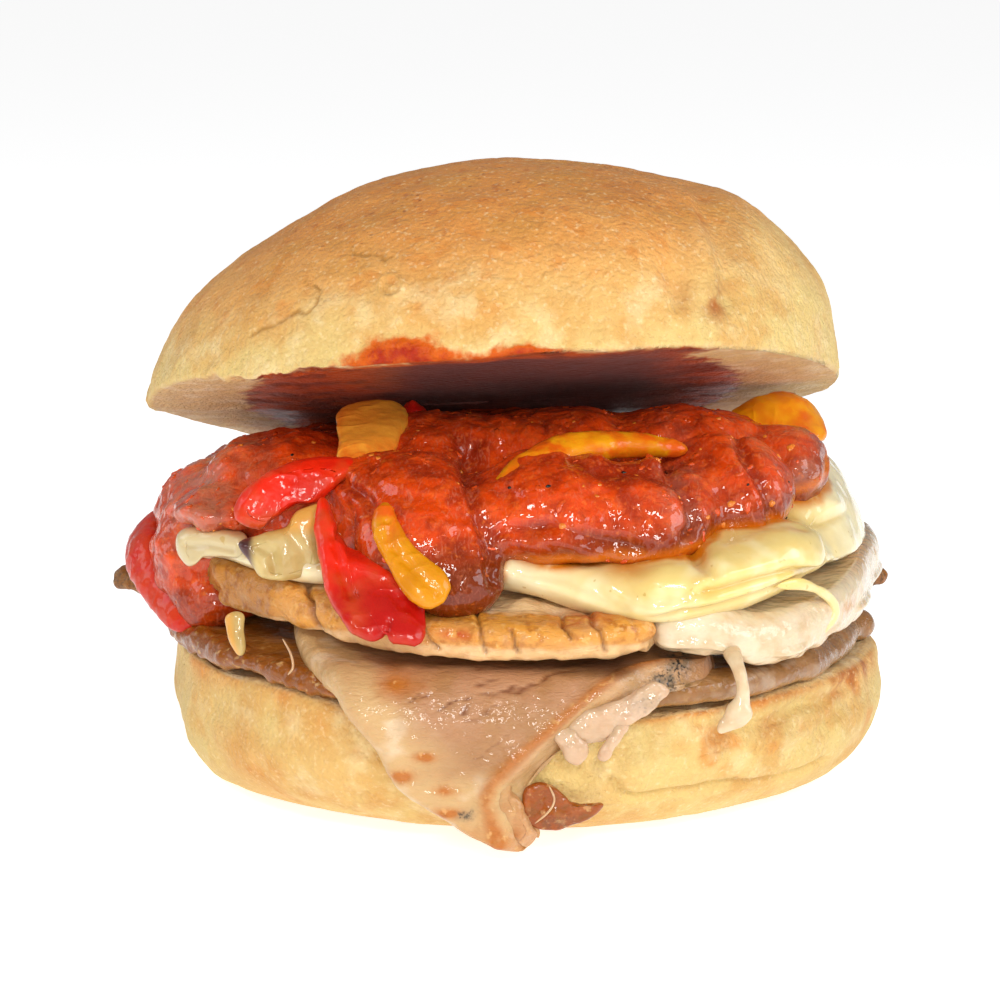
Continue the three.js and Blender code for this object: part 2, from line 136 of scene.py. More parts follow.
def noise(points, size, seed=0, octaves=1):
    """Smooth random heights, about -1 to 1, in patches of that size in mm.

    Random numbers on a cubic lattice are blended by the quintic step. Each further octave
    has half the size and half the height.
    """
    total = 0.0
    for octave in range(octaves):
        place = points * (2**octave / size) + 17.3 * seed + 5.1 * octave
        cell = np.floor(place)
        t = place - cell
        t = t**3 * (t * (t * 6 - 15) + 10)
        value = 0.0
        for step in itertools.product((0, 1), repeat=3):
            weight = np.prod(np.where(step, t, 1 - t), axis=-1)
            value = value + weight * lattice_chance(cell + step, seed)
        total = total + (2 * value - 1) / 2**octave
    return total


def cells(points, size, seed):
    """Each point's distance to the nearest of random dots, one in each cubic cell of that
    size, measured in cells, and that dot's own random number."""
    place = points / size
    home = np.floor(place)
    nearest = np.full(points.shape[:-1], 9.0)
    own = nearest.copy()
    for step in itertools.product((-1, 0, 1), repeat=3):
        cell = home + step
        dot = cell + np.stack([lattice_chance(cell, seed + axis) for axis in range(3)], -1)
        gap = np.linalg.norm(place - dot, axis=-1)
        own = np.where(gap < nearest, lattice_chance(cell, seed + 3), own)
        nearest = np.minimum(nearest, gap)
    return nearest, own


# ------------------------------------------------------------------ grids of points


def outward(points):
    """Unit normals of a grid that closes round its columns: the cross product of the step
    to the next column and the step to the next row."""
    across = np.roll(points, -1, 0) - np.roll(points, 1, 0)
    along = np.gradient(points, axis=1)
    normal = np.cross(across, along)
    normal[:, 0] = normal[:, 1].mean(0)
    normal[:, -1] = normal[:, -2].mean(0)
    return normal / np.maximum(np.linalg.norm(normal, axis=-1, keepdims=True), 1e-9)


def raised(points, height):
    """The grid with each point moved outwards by its height in mm. Each pole stays one."""
    moved = points + outward(points) * np.broadcast_to(height, points.shape[:2])[..., None]
    moved[:, 0] = moved[:, 0].mean(0)
    moved[:, -1] = moved[:, -1].mean(0)
    return moved


def front_angles(count, gather=0.35):
    """Angles once round, which stand closer together at the front, by a cosine."""
    even = TURN * np.arange(count) / count
    return even - gather * np.cos(even)


def slab(outline, middle, place, around=360, rim=0.08, face_rows=(12, 40), rim_rows=30, square=1.0):
    """A slab inside a closed outline. Its rows run from the middle of the low face out to
    the edge, round the rim by a half circle, and back to the middle of the high face.
    place(x, y, side, out) gives its points: side is -1 on the low face and 1 on the high
    one, and out is 0 in the middle and 1 at the edge. A square power under 1 sharpens the
    rim's two corners."""
    edge = spline(outline, np.arange(around) / around, closed=True)
    turn = np.radians(np.linspace(-90, 90, rim_rows))
    low = (1 - rim) * np.sin(np.linspace(0, TURN / 4, face_rows[0], endpoint=False))
    high = (1 - rim) * np.sin(np.linspace(0, TURN / 4, face_rows[1], endpoint=False))[::-1]
    out = np.concatenate([low, 1 - rim + rim * np.cos(turn) ** square, high])
    bend = np.sign(turn) * np.abs(np.sin(turn)) ** square
    side = np.concatenate([-np.ones(len(low)), bend, np.ones(len(high))])
    x = mix(middle[0], edge[:, :1], out)
    y = mix(middle[1], edge[:, 1:2], out)
    out, side = np.broadcast_to(out, x.shape), np.broadcast_to(side, x.shape)
    return place(x, y, side, out), out, side


def between(low, high):
    """The place function of a slab between two heights that depend on x, y and out."""

    def place(x, y, side, out):
        return np.stack([x, y, mix(low(x, y, out), high(x, y, out), (side + 1) / 2)], -1)

    return place


def strip(path, width, thickness, faces, around=64, steps=130, bluntness=5, square=1.0, girth=(1, 1)):
    """An oval section, width by thickness, carried along a smooth path and closed at both
    ends by the curve (1 - |2s - 1|^bluntness)^(1/2). The thickness lies along the direction
    that the strip faces. A square power under 1 flattens the oval's faces, and the girths
    are factors of the width from the path's start to its end."""
    along = (1 - np.cos(np.linspace(0, math.pi, steps + 1))) / 2
    taper = np.sqrt(1 - np.abs(2 * along - 1) ** bluntness)
    swell = curve(girth, along)
    spine = spline(path, along)
    tangent = spline(path, along + 1e-4) - spline(path, along - 1e-4)
    tangent /= np.linalg.norm(tangent, axis=-1, keepdims=True)
    facing = np.asarray(faces, float)
    depth = facing - tangent * (tangent @ facing)[:, None]
    depth /= np.linalg.norm(depth, axis=-1, keepdims=True)
    side = np.cross(tangent, depth)
    turn = -front_angles(around, 0)[:, None]
    across = np.sign(np.cos(turn)) * np.abs(np.cos(turn)) ** square * taper
    rise = np.sign(np.sin(turn)) * np.abs(np.sin(turn)) ** square * taper
    points = spine + side * (across * swell * width / 2)[..., None]
    points = points + depth * (rise * thickness / 2)[..., None]
    return points, np.broadcast_to(along, across.shape), across, rise


def ball(at, half, turn=0.0, around=40, rows=24):
    """A round lump with half sizes along its own axes, turned about Z by so many degrees."""
    azimuth = TURN * np.arange(around)[:, None] / around
    rise = np.linspace(-TURN / 4, TURN / 4, rows)
    x = np.cos(azimuth) * np.cos(rise) * half[0]
    y = np.sin(azimuth) * np.cos(rise) * half[1]
    z = np.broadcast_to(np.sin(rise) * half[2], x.shape)
    a = math.radians(turn)
    x, y = x * math.cos(a) - y * math.sin(a), x * math.sin(a) + y * math.cos(a)
    return np.stack([x, y, z], -1) + at


def lump_depth(points, at, half, turn=0.0, lean=0.0):
    """How far each point is outside an ellipsoid: k(k - 1)/g, where k is the length of the
    place divided by the half sizes, and g that of the place divided by their squares."""
    a, b = math.radians(turn), math.radians(lean)
    p = points - at
    x = p[..., 0] * math.cos(a) + p[..., 1] * math.sin(a)
    y = p[..., 1] * math.cos(a) - p[..., 0] * math.sin(a)
    z = p[..., 2] * math.cos(b) - y * math.sin(b)
    p = np.stack([x, y * math.cos(b) + p[..., 2] * math.sin(b), z], -1)
    k = np.linalg.norm(p / half, axis=-1)
    g = np.linalg.norm(p / np.square(half), axis=-1)
    return k * (k - 1) / np.maximum(g, 1e-9)


def heap(lumps, heart, rises, around=440, blend=1.1, reach=85.0, steps=34):
    """The outer surface of round lumps that flow into each other, seen from their heart:
    along each ray out of the heart, the last place where the lumps' smooth union ends. The
    union's depth is the soft minimum -b ln(sum e^(-d/b)), and each ray walks inwards by it.
    """
    azimuth = front_angles(around)[:, None]
    rise = np.radians(rises)[None, :]
    flat = np.cos(rise) * np.ones_like(azimuth)
    ray = np.stack([np.cos(azimuth) * flat, np.sin(azimuth) * flat, np.sin(rise) + 0 * flat], -1)
    travel = np.full(ray.shape[:2], reach)
    for _ in range(steps):
        place = heart + ray * travel[..., None]
        soft = sum(np.exp(-np.minimum(lump_depth(place, *lump), 60) / blend) for lump in lumps)
        travel = np.maximum(travel + blend * np.log(np.maximum(soft, 1e-30)) * 0.8, 0.5)
    return heart + ray * travel[..., None]


# ------------------------------------------------------------------ meshes


def pole_to_pole(values):
    """A grid's values in the order of its vertices: the first pole, each column's inner
    points, and the last pole."""
    inner = values[:, 1:-1].reshape(-1, *values.shape[2:])
    return np.concatenate([values[0, :1], inner, values[0, -1:]])


def closed_faces(columns, inner, start=0):
    """The faces of a closed grid whose vertices count up from start, pole to pole, with so
    many inner points in each column: four-sided faces between the columns, and a fan of
    three-sided ones round each pole."""
    first = start + 1 + np.arange(columns) * inner
    beside = np.roll(first, -1)
    step = np.arange(inner - 1)
    here, next_one = first[:, None] + step, beside[:, None] + step
    quads = np.stack([here, next_one, next_one + 1, here + 1], -1).reshape(-1, 4)
    low_pole = np.full(columns, start)
    high_pole = np.full(columns, start + 1 + columns * inner)
    caps = np.vstack([
        np.stack([low_pole, beside, first], -1),
        np.stack([first + inner - 1, beside + inner - 1, high_pole], -1),
    ])
    return quads, caps


def build(name, grids, material, nodes=()):
    """Joins closed grids of points in mm into one smooth mesh object, which rides on the
    sandwich and stands for the given nodes. Each grid comes with its masks: numbers from 0
    to 1 for each point, which the material reads as attributes of the mesh."""
    vertices, quads, caps, masks = [], [], [], {}
    names = sorted({key for _, given in grids for key in given})
    start = 0
    for points, given in grids:
        columns, rows = points.shape[:2]
        faces = closed_faces(columns, rows - 2, start)
        quads.append(faces[0])
        caps.append(faces[1])
        vertices.append(pole_to_pole(points))
        for key in names:
            mask = np.broadcast_to(given.get(key, 0.0), (columns, rows))
            masks.setdefault(key, []).append(pole_to_pole(mask))
        start += len(vertices[-1])
    piece = mesh_object(name, np.vstack(vertices), np.vstack(quads), np.vstack(caps))
    for key in names:
        values = np.clip(np.concatenate(masks[key]), 0, 1).astype(np.float32)
        piece.data.attributes.new(key, "FLOAT", "POINT").data.foreach_set("value", values)
    return dress(piece, material, nodes)


def mesh_object(name, vertices, quads, triangles):
    """A smooth-shaded mesh object from points in mm, four-sided and three-sided faces."""
    mesh = bpy.data.meshes.new(name)
    mesh.vertices.add(len(vertices))
    mesh.vertices.foreach_set("co", (np.asarray(vertices) * MM).astype(np.float32).ravel())
    corners = np.concatenate([np.ravel(quads), np.ravel(triangles)]).astype(np.int32)
    starts = np.arange(len(quads)) * 4
    starts = np.concatenate([starts, len(quads) * 4 + np.arange(len(triangles)) * 3])
    mesh.loops.add(len(corners))
    mesh.loops.foreach_set("vertex_index", corners)
    mesh.polygons.add(len(starts))
    mesh.polygons.foreach_set("loop_start", starts.astype(np.int32))
    mesh.polygons.foreach_set("use_smooth", np.ones(len(starts), bool))
    mesh.update(calc_edges=True)
    mesh.validate()
    piece = bpy.data.objects.new(name, mesh)
    bpy.context.scene.collection.objects.link(piece)
    return piece


def dress(piece, material, nodes):
    """Gives a piece its material, ties it to the sandwich's body, and hides the imported parts of its
    nodes.
    """
    piece.data.materials.append(material)
    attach(piece, BODY)
    if nodes:
        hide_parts(*nodes)
    return piece


GRAIN_COLUMNS = 7
GRAIN_ROWS = 6


def grains(name, seats, normals, half, sunk, seed, material):
    """Small grains on a surface: balls of a few dozen faces, each turned at random, of
    random half sizes in mm, about half[0] to half[1], and sunk by a share of them."""
    chance = np.random.default_rng(seed)
    corners = pole_to_pole(ball((0, 0, 0), (1, 1, 1), around=GRAIN_COLUMNS, rows=GRAIN_ROWS))
    corners = corners * (1 + 0.14 * chance.standard_normal((len(corners), 1)))
    count = len(seats)
    sizes = np.exp(chance.uniform(math.log(half[0]), math.log(half[1]), (count, 1)))
    shape = sizes * chance.uniform((0.7, 0.7, 0.5), (1.5, 1.0, 0.85), (count, 3))
    side = np.cross(normals, chance.standard_normal((count, 3)))
    side /= np.linalg.norm(side, axis=-1, keepdims=True)
    axes = np.stack([side, np.cross(normals, side), normals], 1)
    seats = seats - normals * shape[:, 2:] * sunk
    points = seats[:, None] + np.einsum("gvk,gkx->gvx", corners[None] * shape[:, None], axes)
    quads, caps = closed_faces(GRAIN_COLUMNS, GRAIN_ROWS - 2)
    offset = (np.arange(count) * len(corners))[:, None, None]
    piece = mesh_object(
        name,
        points.reshape(-1, 3),
        (quads[None] + offset).reshape(-1, 4),
        (caps[None] + offset).reshape(-1, 3),
    )
    return dress(piece, material, ())


# ------------------------------------------------------------------ materials


def linear(code):
    """The linear red, green, blue and alpha of an sRGB colour such as #d28d50."""
    values = [int(code[i : i + 2], 16) / 255 for i in (1, 3, 5)]
    return [v / 12.92 if v <= 0.04045 else ((v + 0.055) / 1.055) ** 2.4 for v in values] + [1.0]


def add(tree, kind, settings=None, inputs=None):
    """Adds a node, sets its settings, and gives each input, by name or number, a value or
    a link from another node's output."""
    made = tree.nodes.new(kind)
    for key, value in (settings or {}).items():
        setattr(made, key, value)
    for key, value in (inputs or {}).items():
        if isinstance(value, bpy.types.NodeSocket):
            tree.links.new(value, made.inputs[key])
        else:
            made.inputs[key].default_value = value
    return made


def new_material(name):
    """An empty node material, and its tree."""
    made = bpy.data.materials.new(name)
    made.use_nodes = True
    made.node_tree.nodes.clear()
    return made, made.node_tree


def mottle(tree, size, low=0.4, high=0.6, detail=2.0, stretch=(1, 1, 1), warp=0.0):
    """A random mask in patches of that size in mm: 0 where the noise is under low, 1 where
    it is over high. A stretch over 1 makes the patches that much longer that way."""
    place = add(tree, "ShaderNodeTexCoord").outputs["Object"]
    scale = [1 / (MM * size * s) for s in stretch]
    place = add(tree, "ShaderNodeMapping", {}, {"Vector": place, "Scale": scale}).outputs[0]
    settings = {"Vector": place, "Scale": 1.0, "Detail": detail, "Distortion": warp}
    value = add(tree, "ShaderNodeTexNoise", {}, settings).outputs[0]
    span = {"Value": value, "From Min": low, "From Max": high}
    return add(tree, "ShaderNodeMapRange", {"interpolation_type": "SMOOTHSTEP"}, span).outputs[0]


def dots(tree, size, low=0.25, high=0.12):
    """A mask of round dots, one in each random cell of that size in mm: 1 where a point is
    nearer to the dot than high, and 0 where it is farther than low."""
    place = add(tree, "ShaderNodeTexCoord").outputs["Object"]
    inputs = {"Vector": place, "Scale": 1 / (MM * size)}
    value = add(tree, "ShaderNodeTexVoronoi", {}, inputs).outputs["Distance"]
    span = {"Value": value, "From Min": low, "From Max": high}
    return add(tree, "ShaderNodeMapRange", {"interpolation_type": "SMOOTHSTEP"}, span).outputs[0]


def joined(tree, how, parts):
    """Masks and numbers multiplied or added together. A name is a mask that the mesh carries."""
    whole = None
    for part in parts:
        if isinstance(part, str):
            part = add(tree, "ShaderNodeAttribute", {"attribute_name": part}).outputs["Fac"]
        if whole is not None:
            part = add(tree, "ShaderNodeMath", {"operation": how}, {0: whole, 1: part}).outputs[0]
        whole = part
    return whole


def tint(colour):
    """A colour as a node takes it, from a code, a user's setting or another node."""
    if isinstance(colour, bpy.types.NodeSocket):
        return colour
    return linear(colour) if isinstance(colour, str) else tuple(colour)


def paint(tree, base, coats):
    """A base colour under coats of paint. A coat is its colour and the masks and numbers
    whose product says how far it covers."""
    for colour, *masks in coats:
        inputs = {0: joined(tree, "MULTIPLY", masks), 6: tint(base), 7: tint(colour)}
        base = add(tree, "ShaderNodeMix", {"data_type": "RGBA"}, inputs).outputs[2]
    return base


def finish(tree, colour, roughness, height, relief, wet=None, **constants):
    """Ends a material: a Principled shader with a bump of that relief in mm, and constants
    set on its own sockets, whose names have _ for a space. A wet height and its relief
    ripple the coat by themselves, so a wet skin glints over soft flesh."""
    settings = {"Strength": 1.0, "Distance": relief * MM, "Height": height}
    bump = add(tree, "ShaderNodeBump", {}, settings)
    inputs = {"Base Color": colour, "Roughness": roughness, "Normal": bump.outputs[0]}
    inputs.update({key.replace("_", " "): value for key, value in constants.items()})
    if wet:
        settings = {"Strength": 1.0, "Distance": wet[1] * MM, "Height": wet[0]}
        ripple = add(tree, "ShaderNodeBump", {}, settings)
        inputs["Coat Normal"] = ripple.outputs[0]
    shader = add(tree, "ShaderNodeBsdfPrincipled", {}, inputs)
    add(tree, "ShaderNodeOutputMaterial", {}, {"Surface": shader.outputs[0]})


def soft(weight, red, green, blue):
    """How far light soaks into a food, in mm for red, green and blue."""
    return {
        "Subsurface_Weight": weight,
        "Subsurface_Radius": (red, green, blue),
        "Subsurface_Scale": MM,
    }


def baked_roll(look):
    """Soft wheat roll, baked and lightly floured: a matt skin that browns towards the crown,
    with fine pale freckles, scorched dots and dry cracks with painted shade in them, and a cream
    crumb where it is cut, stained by sauce that is painted dark with shade deep under the lid."""
    made, tree = new_material("baked_soft_roll")
    pores = mottle(tree, 1.6, 0.35, 0.65, 3)
    grain = mottle(tree, 0.8, 0.3, 0.7, 5)
    crumb = paint(tree, look.crumb, [
        ("#b99a78", pores, 0.35),
        ("#e9d6b0", mottle(tree, 5, 0.45, 0.7), 0.5),
    ])
    uneven = joined(tree, "MULTIPLY", [mottle(tree, 2.6, 0.2, 0.8, 3), 0.42])
    ragged = joined(tree, "ADD", ["sauce", uneven])
    stained, soaked = (
        add(
            tree, "ShaderNodeMapRange", {"interpolation_type": "SMOOTHSTEP"},
            {"Value": ragged, "From Min": low, "From Max": high},
        ).outputs[0]
        for low, high in ((0.54, 0.9), (0.85, 1.3))
    )
    wet = paint(tree, "#cc5a04", [
        ("#a62602", soaked, mottle(tree, 2.2, 0.25, 0.5, 3)),
        # on the crumb under the lid the sauce stain is painted darker, partly painted shade, and darkest as
        # painted shade deep in the gap
        ("#a8440c", "crumb", 0.8),
        ("#5c2010", "crumb", mottle(tree, 5, 0.42, 0.62, 4), 0.7),
        ("#67403c", "deep", 0.9),
    ])
    colour = paint(tree, look.pale, [
        ("#dfa35a", "gold"),
        (look.baked, "brown"),
        ("#cc8f42", mottle(tree, 9, 0.48, 0.66, 5), 0.5),
        ("#ecd6a0", mottle(tree, 6, 0.48, 0.68, 5), "floury", 0.5),
        ("#d17c2c", mottle(tree, 4, 0.5, 0.75, 4), "gold", 0.65),
        ("#b9672f", mottle(tree, 2.4, 0.55, 0.75, 3), "brown", 0.7),
        ("#a9622a", "scorch", mottle(tree, 3.5, 0.25, 0.65, 4)),
        ("#b07434", grain, mottle(tree, 5, 0.35, 0.65, 3), 0.22),
        ("#f6e2b4", mottle(tree, 0.9, 0.55, 0.75, 4), 0.35),
        ("#f6d49a", dots(tree, 1.3), mottle(tree, 3.4, 0.45, 0.6, 2), "gold", 0.5),
        ("#8a4a22", dots(tree, 1.7, 0.27, 0.1), mottle(tree, 7, 0.5, 0.62, 2), "brown", 0.7),
        # painted shade in the crust's cracks
        ("#a06c2a", "crack", 0.7),
        (crumb, "crumb"),
        (wet, stained),
    ])
    dry_to_wet = {0: stained, 2: 0.62, 3: 0.34}
    roughness = add(tree, "ShaderNodeMix", {"data_type": "FLOAT"}, dry_to_wet).outputs[0]
    height = joined(tree, "ADD", [grain, mottle(tree, 3, 0.2, 0.8, 2)])
    finish(
        tree, colour, roughness, height, 0.17,
        Specular_IOR_Level=0.18, Sheen_Weight=0.04, Sheen_Roughness=0.5, **soft(0.1, 2.0, 1.0, 0.4),
    )
    return made


# Each kind of pork: the colours of its meat, fat and roasted parts, its roughness, the
# relief of its bump in mm, and the weight of its wet coat.
PORK_LOOKS = {
    "slice": ("#a97b50", "#cda873", "#b66c28", 0.4, 0.07, 0.4),
    "loin": ("#c9986a", "#f0cc9a", "#d9953a", 0.4, 0.07, 0.4),
    "fat": ("#c69c7c", "#dccaa6", "#c4883e", 0.3, 0.025, 0.85),
    "clear_fat": ("#85582c", "#906636", "#7e4b1a", 0.25, 0.07, 0.6),
    "crackling": ("#924f08", "#b27824", "#864806", 0.28, 0.07, 0.55),
    "browned_ends": ("#8c5a1c", "#a07030", "#985812", 0.5, 0.07, 0.15),
}


def roast_pork(name, meat, fat, roast, roughness, relief, gloss):
    """Slow-roasted pork, sliced: moist pale muscle with fine fibres and brown veins, clear
    soft fat, and an outer edge roasted golden brown, with cracked black herbs here and there.
    Painted shade darkens the cracks in the loin's edge, and a painted shadow lies where the
    loin overhangs the hanging slice."""
    made, tree = new_material(name)
    fibre = mottle(tree, 0.6, 0.35, 0.7, 3, stretch=(2.5, 1, 1), warp=0.8)
    clear = paint(tree, fat, [
        ("#c79a68", mottle(tree, 3.5, 0.42, 0.7, 3), 0.45),
        ("#f2e2c8", mottle(tree, 5, 0.5, 0.7), 0.4),
    ])
    colour = paint(tree, meat, [
        ("#a4703e", mottle(tree, 8, 0.42, 0.7, 3), 0.35),
        ("#c59272", "pink", mottle(tree, 6, 0.3, 0.6, 2), 0.8),
        ("#8a5a34", fibre, 0.15),
        (clear, "fat"),
        (roast, "roast", mottle(tree, 3.0, 0.12, 0.5, 4)),
        ("#a15a12", "roast", mottle(tree, 1.8, 0.5, 0.7, 3), 0.7),
        ("#ecc27c", "roast", mottle(tree, 1.3, 0.58, 0.72, 2), 0.45),
        # brown veins, and painted shade in the loin's cracks
        ("#6f3618", "vein"),
        ("#b8460f", "stain", mottle(tree, 1.6, 0.3, 0.55, 2)),
        # painted shadow under the loin's overhanging edge
        ("#3d1d0f", "gloom"),
        ("#665c4c", "herbs", mottle(tree, 2.4, 0.3, 0.6, 3), 0.85),
        ("#221f1b", "herbs", mottle(tree, 0.6, 0.5, 0.66, 4)),
    ])
    height = joined(tree, "ADD", [fibre, mottle(tree, 1.2, 0.1, 0.9, 3)])
    finish(
        tree, colour, roughness, height, relief, wet=(mottle(tree, 2.0, 0.1, 0.9, 1.5), 0.4),
        Specular_IOR_Level=0.2, Coat_Weight=gloss, Coat_Roughness=0.07, **soft(0.15, 2.6, 1.2, 0.6),
    )
    return made


def melted_cheese(look):
    """Melted mild cheese: smooth, dense and greasy, cream where thin, yellow in the folds,
    and stained orange where tomato oil runs into it. Painted shade darkens the creases under
    its folds, its low front lip and its lobe at the left."""
    made, tree = new_material("melted_cheese")
    colour = paint(tree, look.pale, [
        (look.yellow, "thick"),
        ("#f7efc4", mottle(tree, 6, 0.45, 0.7, 2), 0.45),
        # painted shade in the creases under the folds
        ("#d3b25c", "valley", 0.6),
        # painted shade on the low front lip and over the left lobe
        ("#c6b48a", "dull"),
        ("#cf7a12", "stain", mottle(tree, 3.0, 0.1, 0.5, 3)),
        ("#b9912f", mottle(tree, 1.3, 0.72, 0.78, 1), 0.5),
    ])
    height = mottle(tree, 2.4, 0, 1, 2)
    finish(
        tree, colour, 0.34, height, 0.1, wet=(mottle(tree, 5, 0, 1, 1), 0.5),
        Specular_IOR_Level=0.25, Coat_Weight=0.8, Coat_Roughness=0.035, **soft(0.3, 2.4, 2.0, 1.0),
    )
    return made


def tomato_sauce(look):
    """Chunky tomato sauce, cooked with oil: a wet skin over soft pulp, orange where grains of
    pulp lie under it and dark red in patches, with painted sheen in pale streaks and patches on
    its flanks, and painted shade in its hollows, low down and at its back under the lid."""
    made, tree = new_material("chunky_tomato_sauce")
    streak = mottle(tree, 0.9, 0.5, 0.72, 4, stretch=(1.0, 2.6, 2.6), warp=1.8)
    pulpy = mottle(tree, 1.7, 0.3, 0.7, 4, warp=0.5)
    fine = joined(tree, "MULTIPLY", [mottle(tree, 1.2, 0.1, 0.9, 1), 0.13])
    ripples = joined(tree, "ADD", [mottle(tree, 3.2, 0.1, 0.9, 1, warp=0.4), fine])
    colour = paint(tree, look.bright, [
        (look.deep, mottle(tree, 3.4, 0.42, 0.68, 4), 0.75),
        # painted shade in the hollows
        (look.deep, "hollow", 0.9),
        ("#ea5c1c", mottle(tree, 3.2, 0.5, 0.7, 3), 0.5),
        ("#84200a", mottle(tree, 1.6, 0.54, 0.72, 3), 0.35),
        ("#ee6a26", mottle(tree, 1.1, 0.58, 0.7, 2), 0.35),
        ("#6c2600", "shade", 0.95),
        # painted sheen: pale streaks and patches on the flanks and crests
        ("#d07a5c", streak, "sheen", 0.4),
        ("#b07e66", "wan", mottle(tree, 3, 0.3, 0.6, 3), 0.55),
        ("#ee7a30", mottle(tree, 1.4, 0.62, 0.76, 2), 0.4),
        ("#c8640a", "oil", 0.9),
        # painted shade at the back of the heap, under the lid
        ("#5a1208", "deep", 0.4),
    ])
    finish(
        tree, colour, 0.4, pulpy, 0.18, wet=(ripples, 0.5),
        Specular_IOR_Level=0.05, Coat_Weight=0.8, Coat_Roughness=0.025, **soft(0.1, 1.8, 0.3, 0.1),
    )
    return made


def stewed_pepper(name, colour_code, deep_code, smear_code):
    """Bell pepper stewed in oil: a taut glassy skin over soft flesh, deeper red in patches and
    where a mask darkens it, mostly towards the lower ends, with sauce clinging to it in places."""
    made, tree = new_material(name)
    colour = paint(tree, colour_code, [
        (deep_code, "far", 0.9),
        (deep_code, mottle(tree, 6, 0.4, 0.7, 2), 0.45),
        (smear_code, "smear", mottle(tree, 3, 0.3, 0.62, 4)),
    ])
    height = mottle(tree, 1.1, 0.1, 0.9, 2)
    finish(
        tree, colour, 0.34, height, 0.05, wet=(mottle(tree, 2.0, 0.1, 0.9, 1), 0.24),
        Specular_IOR_Level=0.15, Coat_Weight=0.42, Coat_Roughness=0.045, **soft(0.1, 2.0, 0.4, 0.1),
    )
    return made


def stewed_onion():
    """Onion stewed until clear: pale straw flesh, gold where it is thin, brown purple where
    its skin edge was."""
    made, tree = new_material("stewed_onion")
    colour = paint(tree, "#bfa364", [
        ("#d2bd80", mottle(tree, 4, 0.4, 0.65, 2), 0.7),
        ("#d9a04a", "gold"),
        ("#4a2424", "tip"),
    ])
    finish(
        tree, colour, 0.3, mottle(tree, 1.2, 0.1, 0.9, 2), 0.06, wet=(mottle(tree, 3.0, 0.1, 0.9, 1), 0.16),
        Specular_IOR_Level=0.25, Coat_Weight=0.6, Coat_Roughness=0.04, **soft(0.3, 2.0, 1.4, 0.8),
    )
    return made


def plain_food(name, code, roughness, gloss):
    """A small bit of one colour, lightly mottled: pulp, tomato flesh or herb."""
    made, tree = new_material(name)
    darker = [0.6 * v for v in linear(code)[:3]] + [1.0]
    colour = paint(tree, code, [(darker, mottle(tree, 0.8, 0.35, 0.65, 2), 0.4)])
    finish(
        tree, colour, roughness, mottle(tree, 0.4, 0, 1, 2), 0.1,
        Specular_IOR_Level=0.3, Coat_Weight=gloss, Coat_Roughness=0.08, **soft(0.15, 1.2, 0.4, 0.2),
    )
    return made


# ------------------------------------------------------------------ the lower bun


BUN_CENTRE = (3.5, 2.9)
BUN_HALF = (60.6, 61.4)
BUN_RIM = 23.2
BUN_WIDEST = 14.5
WALL_INSET = 0.8
RIM_ROUNDING = 1.6


def crumb_height(x, y):
    """Height of the lower bun's cut face: a slight slope, with the dent that the hanging
    slice presses into its front edge."""
    return BUN_RIM - 0.02 * x - 4.6 * np.exp(-(((x + 4) / 19) ** 2)) * ease(y, -34, -54)


